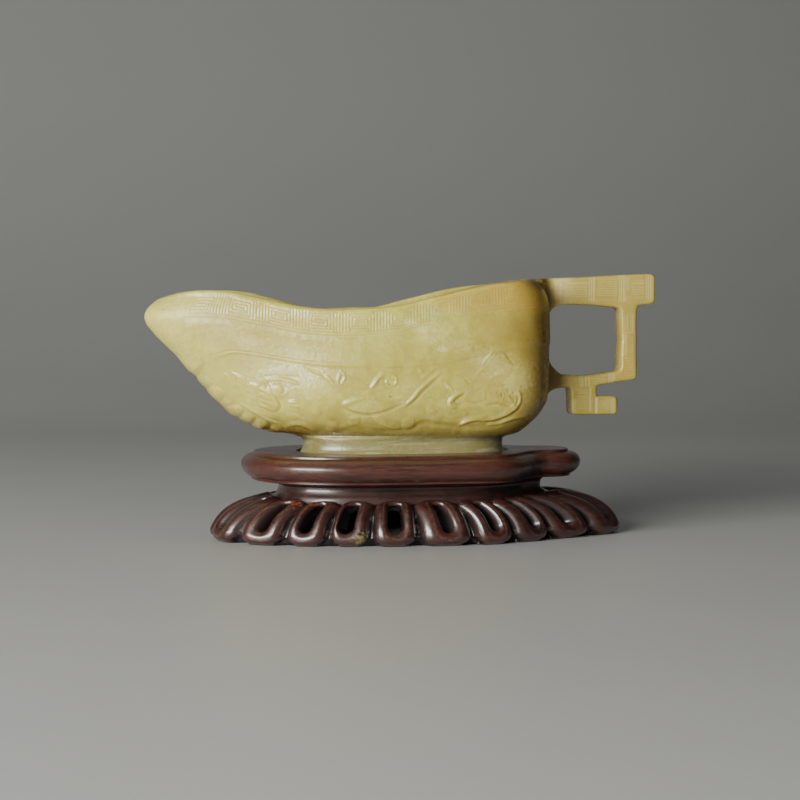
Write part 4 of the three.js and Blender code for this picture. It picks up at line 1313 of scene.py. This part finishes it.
def jade():
    k = Nodes("celadon_jade")
    p = k.place()
    big = k.noise(p, 0.035, 4, 0.55, 0.6)
    mid = k.noise(p, 0.13, 5, 0.6, 0.8)
    small = k.noise(p, 0.7, 4, 0.6)
    x, z = k.axis("X", p), k.axis("Z", p)
    col = k.mix(k.span(mid, 0.35, 0.68), lin(193, 184, 84), lin(214, 206, 108))
    col = k.mix(k.sum("MULTIPLY", k.span(big, 0.42, 0.66), 0.55), col, lin(182, 170, 78))
    # paler towards the spout
    spout = k.span(x, -25.0, -78.0)
    col = k.mix(k.sum("MULTIPLY", spout, 0.42), col, lin(219, 212, 130))
    # browner and darker towards the back and where the bowl turns under: painted shade on faces turned from the lamp
    drift = k.sum("MULTIPLY", k.span(big, 0.3, 0.7, -9.0, 9.0, False), 1.0)
    back = k.span(k.sum("ADD", x, drift), 6.0, 48.0)
    col = k.mix(k.sum("MULTIPLY", back, 0.80), col, lin(156, 124, 50))
    # painted shade: the back end of the bowl darkened to brown
    back_shade_ramp = k.span(k.sum("ADD", x, k.sum("MULTIPLY", drift, 0.30)), 27.0, 43.5)
    bowl_end_shade = k.sum("MULTIPLY", back_shade_ramp, k.span(x, 51.0, 45.6))
    col = k.mix(k.sum("MULTIPLY", bowl_end_shade, 0.85), col, lin(100, 68, 30))
    # painted shade as the bowl turns under, with a deeper tone of the thicker stone
    under = k.span(k.sum("ADD", z, k.span(mid, 0.3, 0.7, -2.0, 2.0, False)), 45.0, 33.5)
    col = k.mix(k.sum("MULTIPLY", under, 0.70), col, lin(134, 114, 62))
    # russet tint under the near rim at the handle end
    tint = k.patch((28.0, -24.0, 78.0), (24.0, 12.0, 5.0), 0.55, 0.55, 0.12)
    col = k.mix(k.sum("MULTIPLY", tint, 0.42), col, lin(206, 164, 70))
    grip = k.span(x, 47.0, 53.0)
    col = k.mix(k.sum("MULTIPLY", grip, 0.72), col, lin(202, 185, 98))
    # painted light: the handle's root, shaded by the bowl, painted pale
    root = k.sum("MULTIPLY", k.span(x, 45.6, 50.0), k.span(x, 58.0, 51.0))
    col = k.mix(k.sum("MULTIPLY", root, 0.75), col, lin(246, 228, 158))
    # painted shade at the lower root of the handle, where it meets the bowl
    low_root_shade = k.sum("MULTIPLY", k.span(x, 58.0, 50.0), k.sum("MULTIPLY", k.span(x, 44.0, 47.0), k.span(z, 64.0, 59.0)))
    col = k.mix(k.sum("MULTIPLY", low_root_shade, 0.75), col, lin(132, 98, 40))
    tint2 = k.patch((78.0, 0.0, 56.0), (8.0, 10.0, 10.0), 0.6, 0.6, 0.2)
    col = k.mix(k.sum("MULTIPLY", tint2, 0.45), col, lin(214, 176, 88))
    # knobbed edge under the spout and the lowest folds, rust coloured
    rust = k.patch((-40.0, -6.0, 34.8), (8.0, 12.0, 1.8), 0.6, 0.7, 0.35)
    rust = k.sum("MAXIMUM", rust, k.sum("MULTIPLY", k.patch((-58.0, 0.0, 45.5), (11.0, 4.0, 9.0), 0.5, 0.6, 0.35), 0.45))
    col = k.mix(k.sum("MULTIPLY", rust, 0.6), col, lin(150, 100, 40))
    # cloudy pale inclusions, running down to the right in streaks
    pale = None
    for centre, size in (((4.5, -25.5, 71.5), (2.6, 6.0, 3.4)), ((8.0, -25.5, 66.5), (2.6, 6.0, 3.0)), ((13.0, -25.0, 62.8), (3.2, 6.0, 2.2)),
                         ((20.5, -25.0, 58.0), (5.0, 6.0, 2.8)), ((26.5, -24.5, 54.5), (5.5, 6.0, 2.4)), ((31.5, -23.0, 50.5), (4.5, 7.0, 3.2)),
                         ((-66.5, -9.0, 70.5), (5.0, 8.0, 2.0)), ((-59.0, -14.0, 67.0), (5.5, 8.0, 2.0)), ((-52.5, -17.0, 63.5), (5.0, 8.0, 1.8)),
                         ((-20.0, 20.0, 60.0), (9.0, 8.0, 4.0)), ((18.0, 24.0, 52.0), (7.0, 8.0, 4.0))):
        one = k.patch(centre, size, 0.6, 1.0, 0.8)
        pale = one if pale is None else k.sum("MAXIMUM", pale, one)
    veins = k.span(k.noise(k.place((1, 1, 1), (0.3, 0.2, 0.7)), 0.085, 6, 0.72, 1.6), 0.60, 0.72)
    flecks = k.span(k.noise(k.place((1.0, 1.0, 1.6), (0.1, 0.6, 0.2)), 0.42, 5, 0.75, 1.2), 0.55, 0.66)
    diagonal = None
    for centre, size in (((-44.0, -17.0, 50.0), (9.0, 12.0, 3.0)), ((-27.0, -22.0, 52.0), (8.0, 10.0, 4.0)),
                         ((6.0, -25.5, 69.5), (2.6, 6.0, 4.2)), ((12.5, -25.0, 64.0), (4.4, 6.0, 3.0)),
                         ((21.0, -25.0, 58.6), (6.5, 6.0, 4.2)), ((29.0, -24.5, 53.5), (7.0, 6.0, 5.0)),
                         ((-8.0, -25.5, 46.0), (15.0, 6.0, 5.5)), ((13.0, -25.5, 46.5), (6.0, 6.0, 4.5))):
        one = k.patch(centre, size, 0.5, 0.6, 0.5)
        diagonal = one if diagonal is None else k.sum("MAXIMUM", diagonal, one)
    flecks = k.sum("MULTIPLY", flecks, diagonal)
    pale = k.sum("MAXIMUM", k.sum("MULTIPLY", pale, 0.26), k.sum("MULTIPLY", veins, 0.08))
    pale = k.sum("MAXIMUM", pale, k.sum("MULTIPLY", flecks, 0.55))
    for centre, size in (((-2.5, -26.0, 69.6), (2.0, 6.0, 1.1)), ((0.6, -26.0, 67.2), (2.2, 6.0, 1.2)), ((3.0, -26.0, 64.4), (2.0, 6.0, 1.2)),
                         ((7.2, -26.0, 61.2), (1.4, 6.0, 0.8)), ((4.8, -26.0, 66.8), (1.3, 6.0, 0.7))):
        pale = k.sum("MAXIMUM", pale, k.sum("MULTIPLY", k.patch(centre, size, 0.45, 1.1, 2.2), 0.60))
    pale = k.sum("MULTIPLY", pale, k.span(x, 42.0, 36.0))
    col = k.mix(pale, col, lin(236, 228, 164))
    # fine mottling
    col = k.mix(k.sum("MULTIPLY", k.span(small, 0.35, 0.7), 0.30), col, lin(162, 150, 74))
    # dark specks
    speck = k.span(k.spots(p, 0.085), 0.045, 0.022)
    speck2 = k.span(k.spots(k.place((1, 1, 1), (0.5, 0.9, 0.1)), 0.21), 0.055, 0.03)
    gate = k.span(k.noise(p, 0.06, 2, 0.5), 0.52, 0.6)
    col = k.mix(k.sum("MULTIPLY", speck, 0.55), col, lin(84, 62, 30))
    col = k.mix(k.sum("MULTIPLY", k.sum("MULTIPLY", speck2, gate), 0.5), col, lin(120, 92, 44))
    # the wheel-cut lines are frosted and painted paler, as their glints; the deep ground of the relief is darker and
    # browner
    cut = k.mark("carve")
    line = k.span(cut, 0.1, 1.0)
    teeth = k.span(cut, 0.8, 1.3)
    deep = k.span(cut, 0.0, -1.0)
    col = k.mix(k.sum("MULTIPLY", line, 0.34), col, lin(236, 228, 172))
    col = k.mix(k.sum("MULTIPLY", deep, 0.36), col, lin(146, 118, 54))
    # painted glint: the brow's row of teeth painted near white
    col = k.mix(k.sum("MULTIPLY", teeth, 0.85), col, lin(252, 248, 226))
    # a pitted patch on the near side
    rugged = k.patch((28.0, -22.0, 47.5), (5.5, 8.0, 5.0), 0.5, 0.5, 0.3)
    holes = k.span(k.spots(p, 0.62), 0.30, 0.12)
    col = k.mix(k.sum("MULTIPLY", k.sum("MULTIPLY", rugged, holes), 0.5), col, lin(112, 92, 48))
    # the foot is greyer, with pale streaks along it; towards the spout end it is painted darker, as the shadow of the
    # spout's overhang
    foot = k.span(z, 35.0, 32.0)
    streak = k.span(k.noise(k.place((0.10, 0.10, 1.2)), 0.9, 4, 0.6, 0.4), 0.52, 0.66)
    foot_col_with_shadow = k.mix(k.sum("MULTIPLY", streak, 0.55), lin(150, 143, 98), lin(206, 203, 172))
    foot_col_with_shadow = k.mix(k.sum("MULTIPLY", k.span(x, -14.0, -30.0), 0.55), foot_col_with_shadow, lin(92, 82, 48))
    col = k.mix(k.sum("MULTIPLY", foot, 0.82), col, foot_col_with_shadow)
    b = k.bsdf
    k.put(b.inputs["Base Color"], col)
    cloudy = k.sum("MAXIMUM", k.sum("MULTIPLY", pale, 1.3), k.sum("MULTIPLY", line, 0.6))
    cloudy = k.sum("MAXIMUM", cloudy, k.sum("MAXIMUM", teeth, k.sum("MULTIPLY", speck, 0.8)))
    k.put(b.inputs["Subsurface Weight"], k.span(cloudy, 0.0, 1.0, 0.7, 0.12, False))
    b.inputs["Subsurface Radius"].default_value = (0.0066, 0.0050, 0.0017)
    b.inputs["Subsurface Scale"].default_value = 1.0
    b.inputs["IOR"].default_value = 1.6
    fine = k.noise(p, 5.0, 3, 0.6)
    rough = k.sum("ADD", k.span(mid, 0.3, 0.7, 0.26, 0.35, False), k.span(small, 0.3, 0.75, -0.03, 0.06, False))
    rough = k.sum("ADD", rough, k.sum("MULTIPLY", line, 0.06))
    rough = k.sum("ADD", rough, k.sum("MULTIPLY", k.span(z, 60.0, 55.0), -0.06))
    rough = k.sum("ADD", rough, k.sum("MULTIPLY", teeth, -0.16))
    rough = k.sum("ADD", rough, k.sum("MULTIPLY", k.span(x, -66.0, -74.0), 0.14))
    k.put(b.inputs["Roughness"], rough)
    n1 = k.bump(small, 0.00024, 0.5)
    pits = k.span(k.spots(p, 0.9), 0.16, 0.05)
    gate2 = k.sum("MAXIMUM", k.span(k.noise(p, 0.05, 2, 0.5), 0.5, 0.62), rugged)
    n2 = k.bump(k.sum("MULTIPLY", pits, gate2), -0.00014, 0.5, n1)
    n3 = k.bump(k.sum("MULTIPLY", holes, rugged), -0.00035, 0.6, n2)
    n4 = k.bump(fine, 0.00003, 0.25, n3)
    k.put(b.inputs["Normal"], n4)
    return k.mat


def wood(name, seed, carved):
    k = Nodes(name)
    turn = (0.02, 0.03, 0.05 + 0.3 * seed)
    grain = k.noise(k.place((0.05, 0.9, 0.9), turn), 1.0, 6, 0.62, 0.9)
    fibre = k.noise(k.place((0.25, 4.0, 4.0), turn), 1.0, 4, 0.6, 0.2)
    pores = k.span(k.noise(k.place((0.35, 7.0, 7.0), turn), 1.0, 2, 0.5), 0.60, 0.70)
    blot = k.noise(k.place(), 0.09, 4, 0.6, 0.5)
    fine = k.noise(k.place(), 1.6, 4, 0.65)
    if carved:
        col = k.mix(k.span(grain, 0.34, 0.68), lin(36, 21, 18), lin(72, 40, 32))
    else:
        col = k.mix(k.span(grain, 0.34, 0.68), lin(56, 32, 25), lin(88, 50, 39))
    col = k.mix(k.sum("MULTIPLY", k.span(fibre, 0.4, 0.7), 0.30), col, lin(42, 22, 18))
    col = k.mix(k.sum("MULTIPLY", k.span(blot, 0.45, 0.75), 0.38), col, lin(86, 38, 29))
    col = k.mix(k.sum("MULTIPLY", pores, 0.45), col, lin(20, 11, 10))
    rough = k.sum("ADD", k.span(blot, 0.3, 0.75, 0.28, 0.42, False), k.span(fine, 0.35, 0.7, -0.03, 0.07, False))
    # painted shade over darker end grain: near-black patch in the concave corner by the board's notch
    notch_grain_and_shade = k.patch((34.5, -18.5, 19.0), (7.5, 8.5, 5.0), 0.5, 0.7, 0.3)
    col = k.mix(k.sum("MULTIPLY", notch_grain_and_shade, 0.86), col, lin(22, 14, 12))
    rough = k.sum("ADD", rough, k.sum("MULTIPLY", notch_grain_and_shade, 0.25))
    if carved:
        low = k.mark("low")
        edge = k.mark("edge")
        # rubbed crests: real wear with painted highlight, lighter brown along the loops' crests by the slots
        worn = k.span(k.sum("ADD", edge, k.span(fine, 0.35, 0.7, -0.35, 0.25, False)), 0.60, 1.10)
        col = k.mix(k.sum("MULTIPLY", worn, 0.26), col, lin(150, 112, 90))
        # painted shade: slots, grooves between petals and the underside darkened to near black by the low mark
        col = k.mix(k.sum("MULTIPLY", k.span(low, 0.30, 1.0), 0.88), col, lin(14, 8, 7))
        rough = k.sum("ADD", rough, k.sum("MULTIPLY", low, 0.18))
        gilt = k.patch((-39.7, -23.2, 13.9), (6.5, 4.5, 1.9), 0.4, 0.9, 1.3)
        col = k.mix(k.sum("MULTIPLY", gilt, 0.62), col, lin(158, 82, 54))
        spot = k.patch((-19.2, -32.6, 2.6), (2.2, 2.4, 2.0), 0.5, 0.9, 1.1)
        col = k.mix(k.sum("MULTIPLY", spot, 0.55), col, lin(158, 150, 92))
    else:
        edge = k.mark("edge")
        worn = k.span(k.sum("ADD", edge, k.span(fine, 0.35, 0.7, -0.4, 0.2, False)), 0.7, 1.05)
        col = k.mix(k.sum("MULTIPLY", worn, 0.35), col, lin(140, 84, 66))
    b = k.bsdf
    k.put(b.inputs["Base Color"], col)
    k.put(b.inputs["Roughness"], rough)
    b.inputs["IOR"].default_value = 1.5
    b.inputs["Coat Weight"].default_value = 0.95 if carved else 0.55
    b.inputs["Coat Roughness"].default_value = 0.20
    n1 = k.bump(grain, 0.00018, 0.30)
    n2 = k.bump(fibre, 0.00008, 0.4, n1)
    n3 = k.bump(pores, -0.00008, 0.5, n2)
    k.put(b.inputs["Normal"], n3)
    return k.mat


def plain_floor():
    k = Nodes("studio_floor")
    soft = k.noise(k.place(), 0.006, 3, 0.5)
    col = k.mix(k.span(soft, 0.3, 0.7), (0.47, 0.475, 0.46, 1), (0.49, 0.495, 0.48, 1))
    # painted light: the backdrop is painted lighter higher up
    backdrop_light_ramp = k.span(k.axis("Z", k.place()), 5.0, 280.0)
    col = k.mix(backdrop_light_ramp, col, (0.565, 0.575, 0.55, 1))
    k.put(k.bsdf.inputs["Base Color"], col)
    k.bsdf.inputs["Roughness"].default_value = 0.45
    k.bsdf.inputs["Specular IOR Level"].default_value = 0.4
    return k.mat


for ob, mat in ((vessel, jade()), (board, wood("hardwood_board", 0, False)), (base, wood("hardwood_base", 1, True))):
    ob.data.materials.clear()
    ob.data.materials.append(mat)
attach(vessel, "vessel")
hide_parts("jade_vessel")
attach(board, "stand")
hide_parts("stand_top_board")
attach(base, "stand")
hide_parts("stand_petal_base")


# ------------------------------------------------------------------ the studio
def build_sweep():
    """Floor and backdrop in one curved sheet."""
    prof = [(-4.5, 0.0), (-2.5, 0.0), (-1.0, 0.0), (0.0, 0.0), (0.5, 0.0)]
    for a in np.linspace(0, math.pi / 2, 28)[1:]:
        prof.append((0.5 + 1.15 * math.sin(a), 1.15 * (1 - math.cos(a))))
    prof.append((1.65, 2.6))
    xs = np.linspace(-4.5, 4.5, 15)
    verts = [(x, y, z) for y, z in prof for x in xs]
    n = len(xs)
    faces = [(r * n + c, r * n + c + 1, (r + 1) * n + c + 1, (r + 1) * n + c)
             for r in range(len(prof) - 1) for c in range(n - 1)]
    me = bpy.data.meshes.new("studio_sweep")
    me.from_pydata(verts, [], faces)
    me.polygons.foreach_set("use_smooth", np.full(len(me.polygons), True, bool))
    ob = bpy.data.objects.new("studio_sweep", me)
    bpy.context.scene.collection.objects.link(ob)
    me.materials.append(plain_floor())
    return ob


build_sweep()


def area_light(name, place, target, size, watts, colour=(1, 1, 1)):
    from mathutils import Vector
    data = bpy.data.lights.new(name, "AREA")
    data.shape = "RECTANGLE"
    data.size, data.size_y = size
    data.energy = watts
    data.color = colour
    ob = bpy.data.objects.new(name, data)
    bpy.context.scene.collection.objects.link(ob)
    ob.location = place
    ob.rotation_euler = (Vector(target) - Vector(place)).to_track_quat("-Z", "Y").to_euler()
    return ob


area_light("key", (-0.82, -0.78, 0.31), (0.0, 0.0, 0.06), (0.86, 0.26), 25.5, (1.0, 0.985, 0.95))
area_light("top", (-0.15, 0.0, 1.3), (-0.05, 0.1, 0.0), (1.0, 0.8), 1.4)

world = bpy.data.worlds.new("studio")
world.use_nodes = True
world.node_tree.nodes["Background"].inputs["Color"].default_value = (0.9, 0.95, 1.0, 1)
world.node_tree.nodes["Background"].inputs["Strength"].default_value = 0.025
bpy.context.scene.world = world

cam_data = bpy.data.cameras.new("camera")
cam_data.sensor_width = 36.0
cam_data.lens = 93.15
cam_data.clip_start, cam_data.clip_end = 0.05, 20.0
cam = bpy.data.objects.new("camera", cam_data)
bpy.context.scene.collection.objects.link(cam)
turn_a = math.radians(-10.5)
cam.location = (0.67 * math.sin(turn_a) - SHIFT_X * MM, -0.67 * math.cos(turn_a), 0.077)
cam.rotation_euler = (math.radians(90 - 2.816), 0.0, turn_a)
bpy.context.scene.camera = cam
